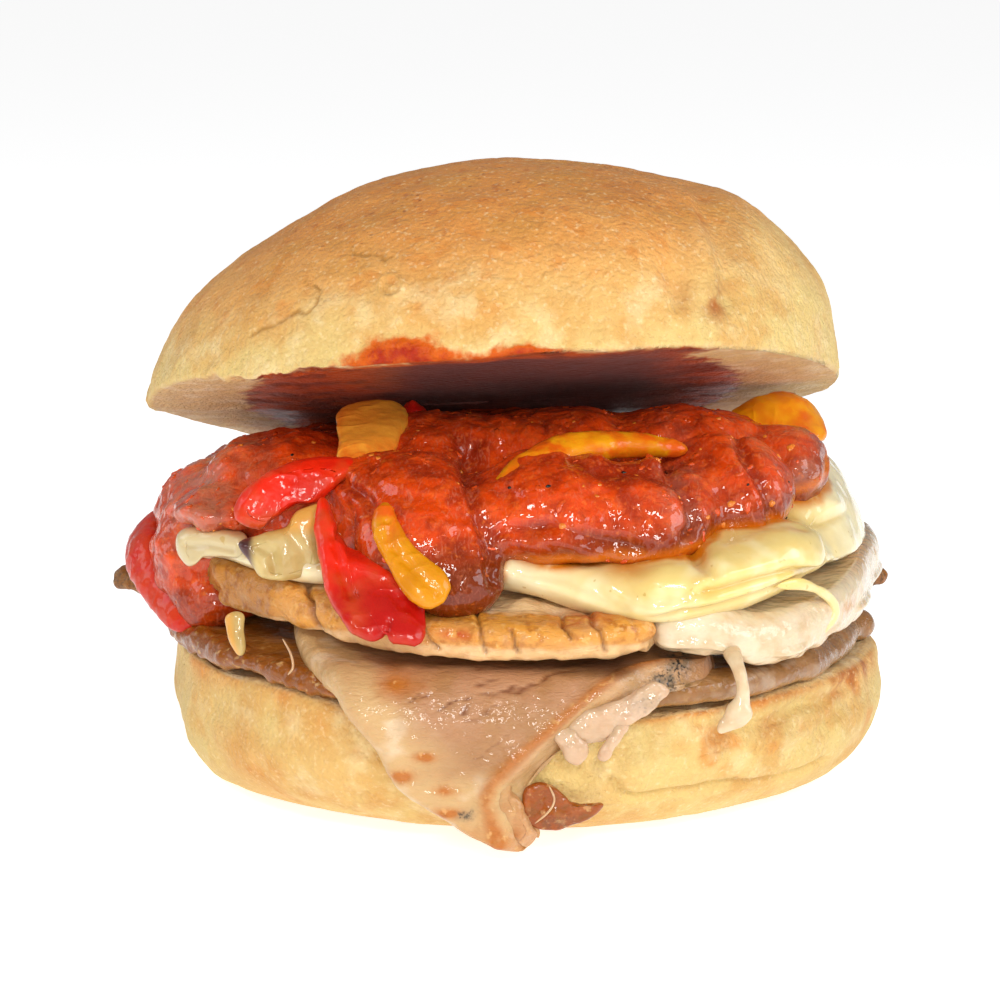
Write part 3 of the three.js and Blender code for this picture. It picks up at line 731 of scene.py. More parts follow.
def lower_bun():
    """A round cushion: the foot, a quarter ellipse up to the widest height, a nearly upright
    wall, a small quarter round at the rim, and the cut face back to the middle."""
    angle = front_angles(440)[:, None]
    uneven = 1 + 0.009 * np.sin(3 * angle + 1) + 0.006 * np.sin(5 * angle + 2)
    foot = mix(14, 23, ease(np.sin(angle), -0.3, -1))
    corner = np.linspace(0, TURN / 4, 60)
    wall = np.linspace(0, 1, 34)[1:]
    rim = np.linspace(0, TURN / 4, 9)[1:]
    sections = []

    def add_rows(out, inset, height):
        x = BUN_CENTRE[0] + (BUN_HALF[0] * uneven - inset) * out * np.cos(angle)
        y = BUN_CENTRE[1] + (BUN_HALF[1] * uneven - inset) * out * np.sin(angle)
        z = height(x, y) + 0 * x
        sections.append(np.stack([x, y, z], -1))

    add_rows(np.array([0, 0.3, 0.55, 0.75, 0.88, 0.96]), foot, lambda x, y: 0)
    bend = 1 - np.cos(corner)
    add_rows(1, foot * (1 - np.sin(corner)), lambda x, y: BUN_WIDEST * bend)
    top = lambda x, y: mix(BUN_WIDEST, crumb_height(x, y) - RIM_ROUNDING, wall)
    add_rows(1, WALL_INSET * wall, top)
    inset = WALL_INSET + RIM_ROUNDING * (1 - np.cos(rim))
    add_rows(1, inset, lambda x, y: crumb_height(x, y) - RIM_ROUNDING * (1 - np.sin(rim)))
    inward = np.cos(np.linspace(0, TURN / 4, 46))[1:]
    add_rows(inward, WALL_INSET + RIM_ROUNDING, crumb_height)
    points = np.concatenate(sections, 1)
    crust_rows = points.shape[1] - len(inward) - len(rim) // 2
    crumb = ease(np.arange(points.shape[1]), crust_rows - 2, crust_rows + 1)[None, :]

    x, y, z = np.moveaxis(points, -1, 0)
    front = ease(y, -5, -25)
    wrinkles = drawn(x, z, [
        ([(17.4, 12.4), (19, 10), (21, 9.1), (28, 8.6), (36.7, 8.4), (44.6, 7.5), (52, 8.6)], -1.4, 0.7),
        ([(34, 17.6), (38.2, 18.9), (43, 17.6), (48.6, 19.6), (53, 18.6), (57, 20)], -1.1, 1.1),
        ([(46, 12), (51, 13.6), (56, 17)], -0.9, 1.3),
        ([(-24, 3), (-23.6, 6.6), (-21, 9.2)], -0.35, 0.4),
        ([(-21, 14), (-19.4, 12.2), (-17, 12.2)], -0.35, 0.4),
        ([(-27.6, 18), (-25, 15.6), (-22, 16.2)], -0.3, 0.4),
    ])
    flake = ease(np.abs(noise(points, 12, 4, 3)), 0.06, 0) * ease(noise(points, 14, 9), -0.1, 0.4)
    relief = 0.9 * noise(points, 22, 1) + 0.4 * noise(points, 8, 2, 2) + 0.1 * noise(points, 2.2, 3, 2)
    relief += front * wrinkles - 0.22 * flake
    relief = np.where(z < 0.05, 0, relief * ease(z, 0, 4))
    points = raised(points, relief)
    points[..., 2] = np.maximum(points[..., 2], 0)
    toasted = ease(z, 19, 24) * ease(noise(points, 9, 12, 2), -0.3, 0.7)
    rim_line = ease(z, 20.6, 23) * hill(x, y, 30, -50, 16, 16) + hill(x, z, 58, 21, 5, 3.4)
    toasted = toasted + ease(y, 10, -10) * rim_line
    scorched_foot = ease(z, 3.2, 0.6) * ease(z, -0.1, 0.3)
    marks = ease(noise(points, 5.5, 23, 2), 0.1, 0.6) * ease(x, 20, 36) * ease(y, 0, -20) * ease(z, 8, 14)
    rim_toast = ease(z, 20, 22.6) * ease(x, 4, 16) * ease(y, -10, -30) * (1 - crumb)
    gold = 0.19 + 0.4 * noise(points, 15, 5, 2) + 0.55 * toasted + 0.06 * scorched_foot
    gold = gold + 0.6 * marks + 0.5 * rim_toast - 0.3 * ease(y, 0, -20) * hill(x, z, 54, 13, 12, 8)
    brown = 0.35 * toasted * (1 - crumb) + 0.08 * scorched_foot + 0.45 * marks + 0.5 * rim_toast
    spots = 0.6 * hill(x, z, 44, 16.6, 4, 2.6) + 0.3 * hill(x, z, 57, 21.6, 5, 2.2)
    scorch = 0.3 * ease(z, 1.4, 0.3) + 0.9 * toasted * ease(x, 20, 40) + ease(y, 0, -20) * spots
    floury = ease(noise(points, 20, 6), -0.7, 0.3)
    return points, {"crumb": crumb, "gold": gold, "brown": brown, "scorch": scorch, "floury": floury}


# ------------------------------------------------------------------ the upper bun


LID_CENTRE = (-1.1, -1.0, 64.8)
LID_HALF = (58.0, 56.0)
LID_HEIGHT = 38.0
LID_TILT = 16.7
LID_ROLL = 2.0
LID_CUT_ROWS = 46


def lid_place(points):
    """Turns the upper bun back and to the right, and lifts it onto the filling."""
    x, y, z = np.moveaxis(points, -1, 0)
    a, b = -math.radians(LID_TILT), -math.radians(LID_ROLL)
    y, z = y * math.cos(a) - z * math.sin(a), y * math.sin(a) + z * math.cos(a)
    x, z = x * math.cos(b) + z * math.sin(b), z * math.cos(b) - x * math.sin(b)
    return np.stack([x, y, z], -1) + LID_CENTRE


def upper_bun():
    """A dome whose profile is a superellipse, squarer on the right, over a cut face that
    sags a little, with creases, cracks and a burst blister in its skin."""
    angle = front_angles(480, 0.55)[:, None]
    uneven = 1 + 0.008 * np.sin(3 * angle + 2) + 0.005 * np.sin(5 * angle)
    power = 2 / mix(1.7, 2.45, 0.5 + 0.5 * np.cos(angle))
    under = 0.99 * np.sin(np.linspace(0, TURN / 4, LID_CUT_ROWS))[None, :]
    turn = np.linspace(0, TURN / 4, 164)[None, 1:]
    out = np.concatenate([under + 0 * angle, np.cos(turn) ** power], 1)
    up = np.concatenate([-1.2 * (1 - under**2) + 0 * angle, LID_HEIGHT * np.sin(turn) ** power], 1)
    out[:, -1] = 0
    across = LID_HALF[0] * uneven * out * np.cos(angle)
    deep = LID_HALF[1] * uneven * out * np.sin(angle)
    points = lid_place(np.stack([across, deep, up], -1))
    rows = np.arange(out.shape[1])
    crumb = ease(rows, LID_CUT_ROWS + 0.5, LID_CUT_ROWS - 1.5)[None, :] + 0 * angle

    x, y, z = np.moveaxis(points, -1, 0)
    front = ease(y, 0, -15)
    left_tip = 0.9 * hill(np.degrees(angle), up, 178, 0.5, 7, 3)
    jag = 0.9 * noise(points, 3, 17, 2)
    cracks = drawn(x + jag, z + jag, [
        ([(-38.7, 81.1), (-35.5, 82.6), (-34.2, 83.1), (-31.7, 84.6), (-28.4, 85.9), (-28.1, 87.6),
          (-29.7, 89.6)], -0.36, 0.22),
        ([(-23.7, 93.1), (-21.4, 93.8), (-19.1, 93.4), (-16.5, 93.3)], -0.34, 0.22),
    ])
    grooves = drawn(x, z, [
        ([(32.2, 101), (33.3, 97.5), (35.2, 91.7), (36, 86.4)], -1.3, 2.4),
        ([(26.2, 91.2), (28, 88.8), (27.7, 86.2)], -0.8, 1.4),
        ([(-17.8, 89.2), (-16.6, 88.6), (-16.2, 87.6)], 0.3, 0.35),
        ([(-16.6, 88.6), (-15.4, 89.2)], 0.3, 0.35),
        ([(30.4, 100), (31.2, 97), (32.8, 91.5), (33.6, 87)], 0.6, 1.2),
    ])
    from_ring = np.abs(np.hypot(x + 16.8, (z - 88.7) * 1.15) - 1.9)
    blister = 0.75 * np.exp(-((from_ring / 0.4) ** 2))
    shoulder = ease(x, 27, 34) * hill(x, z, 34, 92, 12, 12)
    flake = ease(np.abs(noise(points, 12, 14, 3)), 0.05, 0) * ease(noise(points, 15, 19), -0.1, 0.4)
    relief = 0.8 * noise(points, 24, 11) + 0.3 * noise(points, 8, 12, 2) + 0.09 * noise(points, 2.1, 13, 2)
    relief += left_tip + front * (0.9 * shoulder + grooves + cracks + blister) - 0.2 * flake
    points = raised(points, relief * mix(1, 0.6, crumb))
    near_edge = ease(y, -22, -44) * ease(up, 8, 0.5) * ease(out, 0.7, 0.98)
    droop = 2.0 * hill(x, y, -29, -45, 24, 40) + 1.4 * hill(x, y, 4, -50, 22, 40)
    tears = 0.9 * ease(x, -16, -34) * noise(points, 3, 21, 3)
    points[..., 2] -= near_edge * (droop + tears) + 2.2 * crumb * hill(across, deep, -37, 36, 11, 22)

    pale_right = hill(x, z, 50, 84, 20, 20)
    gold = ease(up + 5 * noise(points, 16, 15, 2), -3, 15) - 0.75 * pale_right
    brown = ease(up + 6 * noise(points, 12, 16, 2), 9, 30) - pale_right
    floury = ease(up + 3 * noise(points, 12, 18, 2), 14, 4)
    scorch = front * (hill(x, z, 33.8, 85.3, 2.1, 2.8) + 0.5 * hill(x, z, 29.2, 87, 1.6, 3))
    scorch = scorch + 0.4 * front * hill(x, z, 37.6, 92, 2, 6)
    scorch = scorch + 0.5 * hill(x, z, 18, 101, 8, 2.4)
    floury = floury + 0.6 * pale_right
    smears = 1.25 * hill(x, up, -15.4, 0.4, 8.6, 3.0) + 1.0 * hill(x, up, 3.2, 0.2, 5, 1.8)
    smears = smears + 0.8 * hill(x, up, 16, 0, 18, 0.6)
    edge_drips = 0.75 * hill(across, deep, -34, -44, 14, 8) + 0.75 * hill(across, deep, 31, -46, 9, 5)
    inside = 1.25 * ease(np.hypot(across / 47, (deep + 4) / 60), 1.0, 0.72) + edge_drips
    sauce = np.where(crumb > 0.5, inside, smears * ease(y, -20, -40))
    points = raised(points, 0.5 * ease(sauce, 0.4, 1.0) * (1 - crumb))
    # Painted shade: deep in the gap under the lid, and in the crust's cracks, both as masks below.
    gap_shade = ease(deep, -52, -42) * ease(np.abs(across - 6), 30, 16)
    return points, {
        "crumb": crumb, "gold": gold, "brown": brown, "scorch": scorch, "sauce": sauce,
        "floury": floury, "deep": gap_shade * crumb, "crack": np.clip(-2.8 * cracks * front, 0, 1),
    }


# ------------------------------------------------------------------ the slices of pork


def under_left():
    """The roasted slice that lies low on the left: it follows the cut face of the bun, and
    its edge is dark crackling, bubbled near random dots."""
    outline = [
        (2, 55), (-25, 50), (-45, 35), (-55, 14), (-56.5, -8), (-51, -25), (-42, -39),
        (-30, -49.5), (-17, -56.5), (2, -55), (3, -30), (1, 0), (2, 30),
    ]
    low = lambda x, y, out: crumb_height(x, y) + 0.7
    high = lambda x, y, out: crumb_height(x, y) + 4.95
    points, out, _ = slab(outline, (-24, 0), between(low, high), around=420)
    edge = ease(out, 0.88, 0.97)
    bubbles = cells(points, 2.6, 21)[0]
    relief = 0.5 * noise(points, 7, 22, 2) + edge * (0.55 * ease(bubbles, 0.6, 0.1) - 0.15)
    return raised(points, relief), {"roast": 0.55 + 0.5 * edge, "fat": 0.35 * (1 - edge)}


def under_right():
    """The slice of soft, clear fat that lies low on the right."""
    outline = [
        (22, -56), (38, -49), (49, -38), (57.6, -19), (60.6, -9), (64.2, -4), (62, 2), (60, 20),
        (48, 40), (25, 53), (0, 56), (3, 30), (2, 0), (4, -30), (5, -56),
    ]
    low = lambda x, y, out: crumb_height(x, y) + 0.7
    high = lambda x, y, out: crumb_height(x, y) + 5.55
    points, *_ = slab(outline, (30, 0), between(low, high), around=420)
    points = raised(points, 0.55 * noise(points, 9, 25, 2) + 0.12 * noise(points, 2, 26))
    browned = 0.25 + 0.3 * ease(noise(points, 8, 27), 0, 0.8)
    return points, {"fat": 0.75, "roast": browned}


HANGING_ROWS = [
    (-84, -8, -2), (-78, -20, 10), (-60, -30, 22), (-38, -33.5, 30), (-14, -32, 33.5),
    (-4, -29, 32.5), (3, -26.4, 24.5), (8.5, -23.4, 16.4), (13.7, -19.2, 9.6), (19.5, -16.2, 4.6),
    (24, -9.8, 4.8), (27.6, -4.6, 6), (30, 0.5, 5.2),
]
HANGING_BEND = -54.4
HANGING_RADIUS = 6.9
HANGING_LEVEL = 31.2
HANGING_THICK = 4.4
# Brown veins in the meat of the hanging slice: (x, z) points, height and half width.
HANGING_VEINS = [
    ([(-14.2, 26.2), (-12.5, 27.5), (-10.8, 27.5)], 0.8, 0.2),
    ([(-9.3, 25.5), (-6.7, 26.6)], 1.0, 0.22),
    ([(-5.6, 24.7), (-5.4, 26.2), (-4.2, 27.8), (-1.9, 28.9), (-0.3, 29.6), (0.5, 30.4)], 0.9, 0.22),
    ([(-5.4, 24.4), (-4.6, 23.4), (-4.2, 23.3), (-2.5, 24.4), (0, 25.8)], 0.7, 0.2),
    ([(-2.2, 27.5), (1.8, 28.2), (5, 28.4), (8.2, 29.5), (12.5, 30.4)], 0.9, 0.24),
    ([(-4.3, 30), (-3.2, 30.7), (-1.9, 31)], 0.8, 0.2),
    ([(-4.6, 17.7), (-2.5, 18.5), (0.8, 21.1)], 0.6, 0.24),
]


def hanging_slice():
    """The slice that hangs over the front: rows of (distance past the bend, left edge, right
    edge) on a line that runs flat, turns down by a quarter circle and hangs. Its front face
    is bevelled on the right, where the thick cut edge shows."""
    along_rows = np.linspace(0, 1, 300) ** 0.75
    rows = spline(HANGING_ROWS, along_rows)
    along, left, right = rows[:, 0], rows[:, 1], rows[:, 2]
    closing = np.sqrt(np.clip(1 - np.abs(2 * along_rows - 1) ** 14, 0, 1))
    turn = TURN * np.arange(200)[:, None] / 200
    share = 0.5 + 0.5 * closing * np.sign(np.cos(turn)) * np.abs(np.cos(turn)) ** 0.8
    across = mix(left, right, share)
    bevel = 4.6 * ease(along, -6, 3) + 0.6
    from_right = (1 - share) * (right - left)
    from_left = share * (right - left)
    rounding = np.sqrt(np.clip(1 - (1 - np.clip(from_left / 2.4, 0, 1)) ** 2, 0, 1))
    face = mix(-0.75, 1, ease(from_right, -0.4, bevel)) * rounding
    back = -np.sqrt(np.clip(1 - (1 - np.clip(from_right / 1.2, 0, 1)) ** 2, 0, 1)) * rounding
    depth = np.where(np.sin(turn) > 0, face, np.where(from_right < 0.05, -0.75, back))

    quarter = TURN / 4 * HANGING_RADIUS
    angle = np.clip(along, 0, quarter) / HANGING_RADIUS
    level = HANGING_LEVEL - 2.9 * ease(along, -24, -2)
    normal = np.stack([0 * along, -np.sin(angle), np.cos(angle)], -1)
    drop = level - HANGING_RADIUS - np.maximum(along - quarter, 0)
    spine = np.stack([0 * along, HANGING_BEND - np.minimum(along, 0), drop], -1)
    spine = spine + normal * HANGING_RADIUS
    points = np.broadcast_to(spine, share.shape + (3,)).copy()
    points[..., 0] = across
    points = points + normal * (closing * depth * HANGING_THICK / 2)[..., None]
    points[:, 0], points[:, -1] = points[:, 0].mean(0), points[:, -1].mean(0)

    past = np.broadcast_to(along, share.shape)
    fatty = ease(from_left - 1.5 * noise(points, 5, 33, 2), 9 + 0.45 * np.maximum(past, 0), 4)
    fatty = np.maximum(fatty, ease(past, 15, 20))
    cut_edge = ease(from_right, bevel + 0.3, bevel - 0.8) * ease(past, -4, 2)
    golden = np.exp(-(((from_right - bevel - 1.2) / 1.3) ** 2)) * ease(past, -6, 0)
    lumps = cells(points, 6.5, 31)[0]
    relief = 0.45 * noise(points, 10, 32, 2) + 0.12 * noise(points, 2.6, 34, 2)
    relief += 0.7 * ease(past, 14, 22) * (0.5 - lumps) + 0.35 * golden
    x, y, z = np.moveaxis(points, -1, 0)
    veins = drawn(x, z + 0.6 * noise(points, 2.2, 35, 2), HANGING_VEINS) * ease(y, -52, -57)
    points = raised(points, (relief - 0.35 * veins) * closing)
    x, z = points[..., 0], points[..., 2]
    spots = hill(x, z, -11.5, 17.9, 1.5, 0.7) + hill(x, z, -15.2, 14.8, 1.7, 0.9)
    spots = spots + 0.7 * hill(x, z, -8.5, 12.6, 1.6, 0.8) + 0.9 * hill(x, z, -8, 9, 2, 0.8)
    spots = spots + 0.8 * hill(x, z, -18, 28.6, 5, 1.6) * ease(x, -21, -15)
    spots, tip = 1.6 * spots, 0.5 * ease(z, 9, 4)
    herbs = drawn(x, z, [
        ([(31.4, 34), (28, 30.4), (24, 26.4)], 1.2, 1.9),
        ([(-6.2, 8.6), (-4.6, 8.8)], 0.8, 0.7),
    ])
    return points, {
        "fat": np.maximum(0.9 * fatty, 0.55 * cut_edge),
        "roast": np.clip(0.8 * golden + spots + tip, 0, 1),
        "herbs": herbs,
        "pink": np.maximum(cut_edge, 0.6 * ease(past, 18, 4)),
        "vein": 0.85 * np.clip(1.8 * veins - 0.7, 0, 1),
        # painted shadow where the loin's edge overhangs the slice's top
        "gloom": 0.85 * ease(z + 0.05 * x, 29.6, 31.4) * ease(y, -50, -56) * ease(x, 24, 18),
    }


def leaf(outline, middle, front, thick, around=220):
    """A thick leaf that faces the front. Inside an outline of (x, z) points it lies along
    the surface y = front(x, z), bulges a little both ways and is rounded at its rim."""

    def place(x, z, side, out):
        swell = side * thick / 2 * (0.6 + 0.4 * np.sqrt(1 - np.minimum(out, 1) ** 2))
        return np.stack([x, front(x, z) - swell, z], -1)

    return slab(outline, middle, place, around=around, rim=0.3, face_rows=(20, 44))


# Shreds of the hanging slice's edge, two tongues and two fine strings: each one's path,
# width, thickness, how far it faces up, and its number of columns.
HANGING_SHREDS = [
    ([(9.6, -61.6, 22.4), (10.4, -62.6, 20.6), (12, -62.6, 18.8), (13.2, -62, 18)], 3.6, 2.2, 0.1, 64),
    ([(20, -60.6, 23.6), (18, -62, 21), (16.6, -62.4, 19), (15.6, -62, 17.2)], 2.0, 1.4, 0.1, 64),
    ([(7.6, -61, 12.8), (8.4, -61.6, 10.8), (7.6, -62, 9), (5.4, -62, 7)], 0.36, 0.3, 0, 12),
    ([(-34.4, -45, 32.4), (-33, -47.6, 30.6), (-32.6, -48.4, 28.6), (-33.4, -48.8, 27.4)], 0.4, 0.3, 0, 12),
]


def hanging_folds():
    """The frayed fat of the hanging slice: its lumpy tip, a clear membrane on its folded
    right edge, and its shreds. Noise makes all but the two strings uneven."""
    tip = [
        (1.6, 14.5), (-3, 13), (-8, 9.8), (-9.2, 7.8), (-4.6, 5.6), (-3.2, 4.2), (2, 3.8), (4.2, 2.6),
        (5.9, 4.8), (5.2, 6.8), (3.6, 9.2), (2.2, 12),
    ]
    skin = [
        (10, 21.6), (12, 24.2), (19, 27), (24, 29), (26.4, 27.4), (23, 23.8), (19.6, 22.4), (16, 20),
        (12.6, 20.2),
    ]
    lumps = [
        leaf(tip, (-0.5, 8), lambda x, z: -61 - 0.1 * (z - 8), 4.2)[0],
        leaf(skin, (17, 23.6), lambda x, z: -61 + 0.12 * (x - 16), 2.6)[0],
        *(strip(path, width, thick, (0, -1, up), around)[0]
          for path, width, thick, up, around in HANGING_SHREDS),
    ]
    grids = []
    for number, points in enumerate(lumps):
        is_tip, is_string = number == 0, number > 3
        relief = 0.4 * noise(points, 3.4, 40 + number, 2) + 0.15 * noise(points, 1.5, 47, 2)
        x, z = points[..., 0], points[..., 2]
        browned = hill(x, z, -6, 8, 2.4, 1.6) + hill(x, z, 1.4, 5.2, 1.6, 1)
        herbs = hill(x, z, -5.6, 8.4, 1, 0.8) + hill(x, z, 1.4, 4.8, 1, 0.8)
        masks = {
            "fat": 0.6 if is_tip else 0.35, "roast": browned + 0.3 * (is_tip or is_string),
            "pink": 0.7, "herbs": herbs + 0.3 * hill(x, z, 23, 26, 3, 1.6),
        }
        grids.append((raised(points, relief * (not is_string)), masks))
    return grids


LOIN_OUTLINE = [
    (22, -6), (17, 24), (8, 46), (-8, 50), (-28, 42), (-44, 25), (-51, 4), (-50.5, -14),
    (-46.5, -26), (-40, -35), (-31, -44.5), (-22, -51.5), (-11, -58), (2, -60.2), (15, -59.3),
    (23.5, -55), (24, -36),
]
# Where the loin's edge is split: (x, z) points, height and half width.
LOIN_CRACKS = [
    ([(-11.9, 37), (-10.8, 35.4), (-9.9, 33.8)], -0.8, 0.35),
    ([(-3.4, 40), (-3.2, 37.6), (-2.2, 33.8)], -0.9, 0.3),
    ([(1.9, 37), (2.1, 35), (2.5, 33.8)], -0.9, 0.3),
    ([(9.1, 39.8), (9.7, 38), (11.1, 36)], -0.9, 0.28),
    ([(13, 39.6), (14.6, 37.6), (15.3, 37), (16.2, 33.8)], -0.8, 0.35),
    ([(-30.4, 40), (-29.6, 37), (-28.4, 34)], -1.1, 0.45),
]


def loin_slice():
    """The thick slice of loin: a golden, roasted upper band over a pale cut face that stands
    back under it, split by cracks, with a ragged left end and a fibrous top."""
    low = lambda x, y, out: 33.8 - 1.6 * ease(y, -34, -58) - 0.4 * ease(x, -30, -50)
    high = lambda x, y, out: low(x, y, out) + 6.2 + 1.3 * ease(x, -20, -48)
    points, out, side = slab(
        LOIN_OUTLINE, (-10, -8), between(low, high), around=560, rim=0.075, face_rows=(8, 70), rim_rows=64,
        square=0.62,
    )
    x, y, z = np.moveaxis(points, -1, 0)
    ragged = 0.6 * noise(points, 6, 51, 2) + 0.12 * noise(points, 1.8, 52, 2)
    front = ease(y, -24, -36) * ease(out, 0.8, 0.92)
    parting = -0.28 + 0.16 * noise(points, 4, 53, 2) - 0.5 * ease(x, -20, -34)
    face = ease(side, parting + 0.12, parting - 0.12)
    cracks = drawn(x + 0.4 * noise(points, 2.4, 57), z, LOIN_CRACKS)
    bulge = 0.5 * np.exp(-(((side - 0.25) / 0.5) ** 2))
    ends = (ease(x, 19, 23) + ease(x, -42, -47)) * 0.8 * noise(points, 2.2, 58)
    fibres = 0.35 * noise(points * (0.3, 1, 1), 1.6, 59, 2) * ease(out, 0.93, 0.85) * ease(side, 0, 1)
    points = raised(points, ragged + front * (cracks + bulge - 0.15 * face) + ends + fibres)
    inner = out + 0.02 * noise(points, 3, 56, 2) - 0.045 * ease(x, -26, -34)
    band = ease(side, parting - 0.05, parting + 0.2) * ease(inner, 0.88, 0.925)
    edge = ease(out, 0.985, 0.93) * band
    stain = hill(x, z, -6.6, 36.4, 2.4, 0.8) + 0.7 * hill(x, z, 13, 38.6, 6, 0.8)
    roast = band * (0.55 + 0.3 * noise(points, 4, 55)) + 0.5 * edge + 0.3 * front
    roast = np.clip(roast + 0.5 * band * ease(x, -34, -40), 0, 1)
    # painted shade in the cracks of the roasted edge, and a darker tone at its left end
    vein = np.clip(-0.7 * cracks * front + 0.42 * band * ease(x, -33, -38), 0, 1)
    return points, {"roast": roast, "fat": 1 - band, "stain": stain * front, "vein": vein}


FAT_OUTLINE = [
    (23.8, -53.6), (31, -56.8), (39, -54), (47, -47.5), (54, -38), (59, -26), (62.2, -12),
    (64.6, 3), (62.4, 20), (53, 37), (38, 48), (20, 53), (10, 52), (12, 44), (20, 24), (24, -6),
    (24.4, -36),
]


def fat_slice():
    """The thick, soft, fatty slice on the right: a ridge runs along its edge, a bell over the
    height of the rim, and under it noise makes the edge ragged."""
    sag = lambda x, y: 1.2 * hill(x, y, 46, -48, 10, 12)
    lift = lambda x, y: ease(x, 40, 31) * (3.6 - 1.8 * ease(y, -34, -56)) + 2 * ease(x, 50, 66)
    low = lambda x, y, out: 30.2 + lift(x, y) - sag(x, y)
    high = lambda x, y, out: low(x, y, out) + 8.4
    points, _, side = slab(
        FAT_OUTLINE, (42, -4), between(low, high), around=460, rim=0.1, face_rows=(8, 50), rim_rows=44,
    )
    x, y, z = np.moveaxis(points, -1, 0)
    lip = 0.9 * np.exp(-(((side + 0.45) / 0.14) ** 2)) * ease(noise(points, 9, 62), -0.6, 0.5)
    skirt = 0.8 * ease(side, -0.5, -0.95) * noise(points, 4.5, 63, 2)
    points = raised(points, 0.5 * noise(points, 10, 61) + 0.08 * noise(points, 2.2, 64) + lip + skirt)
    browned = 0.8 * hill(x, z, 60, 40.4, 3.4, 1.8) + 0.15 * ease(side, -0.5, -0.95)
    browned = browned + 0.9 * ease(y, 0, -10) * hill(x, z, 56, 35, 1.2, 1.0)
    herbs = 0.8 * hill(x, z, 62.4, 41.4, 1.8, 1.2)
    rosy = 0.5 * hill(x, z, 56, 42, 8, 5) * ease(noise(points * (1, 0.4, 1), 4, 65), -0.5, 0.9)
    return points, {"fat": 0.9 - 0.5 * rosy, "pink": rosy, "roast": browned, "herbs": herbs}


def fat_thread():
    """The thread of soft fat that drips from the front of the fatty slice, fattest where it
    bends and ends."""
    path = [
        (35.6, -55, 33.4), (36.6, -58.6, 31.6), (37.3, -59.8, 29), (37.6, -60.2, 26.4),
        (36.6, -60.6, 24), (33.8, -60.8, 21.2),
    ]
    girth = (1.1, 0.6, 0.5, 0.75, 1.15, 0.75)
    points, *_ = strip(path, 3.4, 1.9, (0, -1, 0.2), around=32, steps=90, girth=girth)
    return raised(points, 0.3 * noise(points, 3.2, 66, 2)), {"fat": 0.9, "roast": 0.1}


LEFT_END = [(-67.5, 11.5), (-61, 4), (-50, -1), (-38, 4), (-36, 15), (-47, 21), (-60, 18)]
RIGHT_END = [(68, 14), (60.5, 20), (50, 24), (43, 14), (50, 5), (61.5, 8)]


def crust_end(outline, middle, seed):
    """The tip of a browned slice that sticks out past the bun, a slab that sags and thins
    a little towards its edge by the cube of out."""
    low = lambda x, y, out: 29.2 - 0.9 * out**3
    high = lambda x, y, out: 32.2 - 0.6 * out**3
    points, out, _ = slab(
        outline, middle, between(low, high), around=160, rim=0.12, face_rows=(6, 24), rim_rows=16,
    )
    points = raised(points, 0.55 * noise(points, 4, seed, 3))
    return points, {"roast": 0.6 + 0.5 * noise(points, 3, seed + 1), "herbs": 0.5 * ease(out, 0.8, 1)}


def crackling_scrap():
    """A scrap of thin, stiff crackling under the tip of the hanging slice."""
    outline = [(4, 12.4), (8, 12.6), (11.5, 9.6), (16, 9.2), (12.6, 6.4), (7, 5.4), (4, 7)]

    def place(x, z, side, out):
        return np.stack([x, -60.1 + 0.8 * side + 0.12 * (x - 8), z], -1)

    points, *_ = slab(outline, (8, 9), place, around=160, rim=0.15, face_rows=(12, 24), rim_rows=12)
    points = raised(points, 0.3 * noise(points, 2.4, 71, 2))
    herbs = 0.5 * hill(points[..., 0], points[..., 2], 10, 6.6, 3, 1.2)
    return points, {"roast": 1.0, "stain": 0.25, "herbs": herbs}


# ------------------------------------------------------------------ the cheese


CHEESE_LEVEL = 39.0
CHEESE_OUTLINE = [
    (24, -58), (32, -57.4), (41, -52), (48.5, -43.5), (55, -31), (59.5, -18), (61.5, -5),
    (60, 12), (54, 29), (40, 42), (22, 48.5), (0, 47), (-20, 43), (-40, 30), (-51, 8),
    (-54.5, -9), (-52.5, -22), (-46, -27.5), (-40, -36.5), (-33.5, -42.5), (-24, -43),
    (-10, -46.5), (2, -52), (13, -54.5),
]


def cheese_top(x, y):
    """Height of the cheese: a fold at the front, a mound on the right, a lobe on the left."""
    folds = 5.5 * hill(x, y, 34, -38, 18, 14) + 2.5 * hill(x, y, -34, -34, 7, 9)
    front = 2.2 * hill(x, y, 8, -48, 20, 8)
    return CHEESE_LEVEL + 5.4 + folds + front + 20 * hill(x, y, 52, -4, 13, 26)


# Heights of the lip's lower edge where it hangs at the front, evenly from x = -14 to 48.
LIP_HEIGHTS = (43, 42.8, 42.2, 40.6, 38.4, 36.2, 36.4, 37.4, 38.6, 41)


def cheese_rim(x, y):
    """Heights of the rim's lower lip and of its upper edge. The lip sags at the front over
    the fatty slice, and the edge is thickest there."""
    front = ease(y, -30, -44)
    lip = curve(LIP_HEIGHTS, np.clip((x + 14) / 62, 0, 1))
    hangs = front * ease(x, -14, -6) * ease(x, 54, 48)
    low = mix(CHEESE_LEVEL + 2.2 - 0.8 * ease(x, 40, 58), lip, hangs)
    thick = 3.2 + front * (1.6 * ease(x, -14, 0) + 5.2 * ease(x, 14, 26) - 1.4 * ease(x, 44, 56))
    return low, low + thick


def ledge(x, z, line, rise, width):
    """A fold that lies over a line of (x, z) points: it stands out from its lower edge by a
    crisp step and falls back smoothly over its width. Gives its height, and the mask of the
    crease along its lower edge."""
    line = np.asarray(line, float)
    above = z - np.interp(x, line[:, 0], line[:, 1])
    ends = ease(x, line[0, 0] - 3, line[0, 0] + 2) * ease(x, line[-1, 0] + 3, line[-1, 0] - 2)
    bulge = ends * rise * ease(above, -0.15, 1.5) * ease(above, width, 1.2)
    return bulge, ends * np.exp(-((above / 0.55) ** 2))


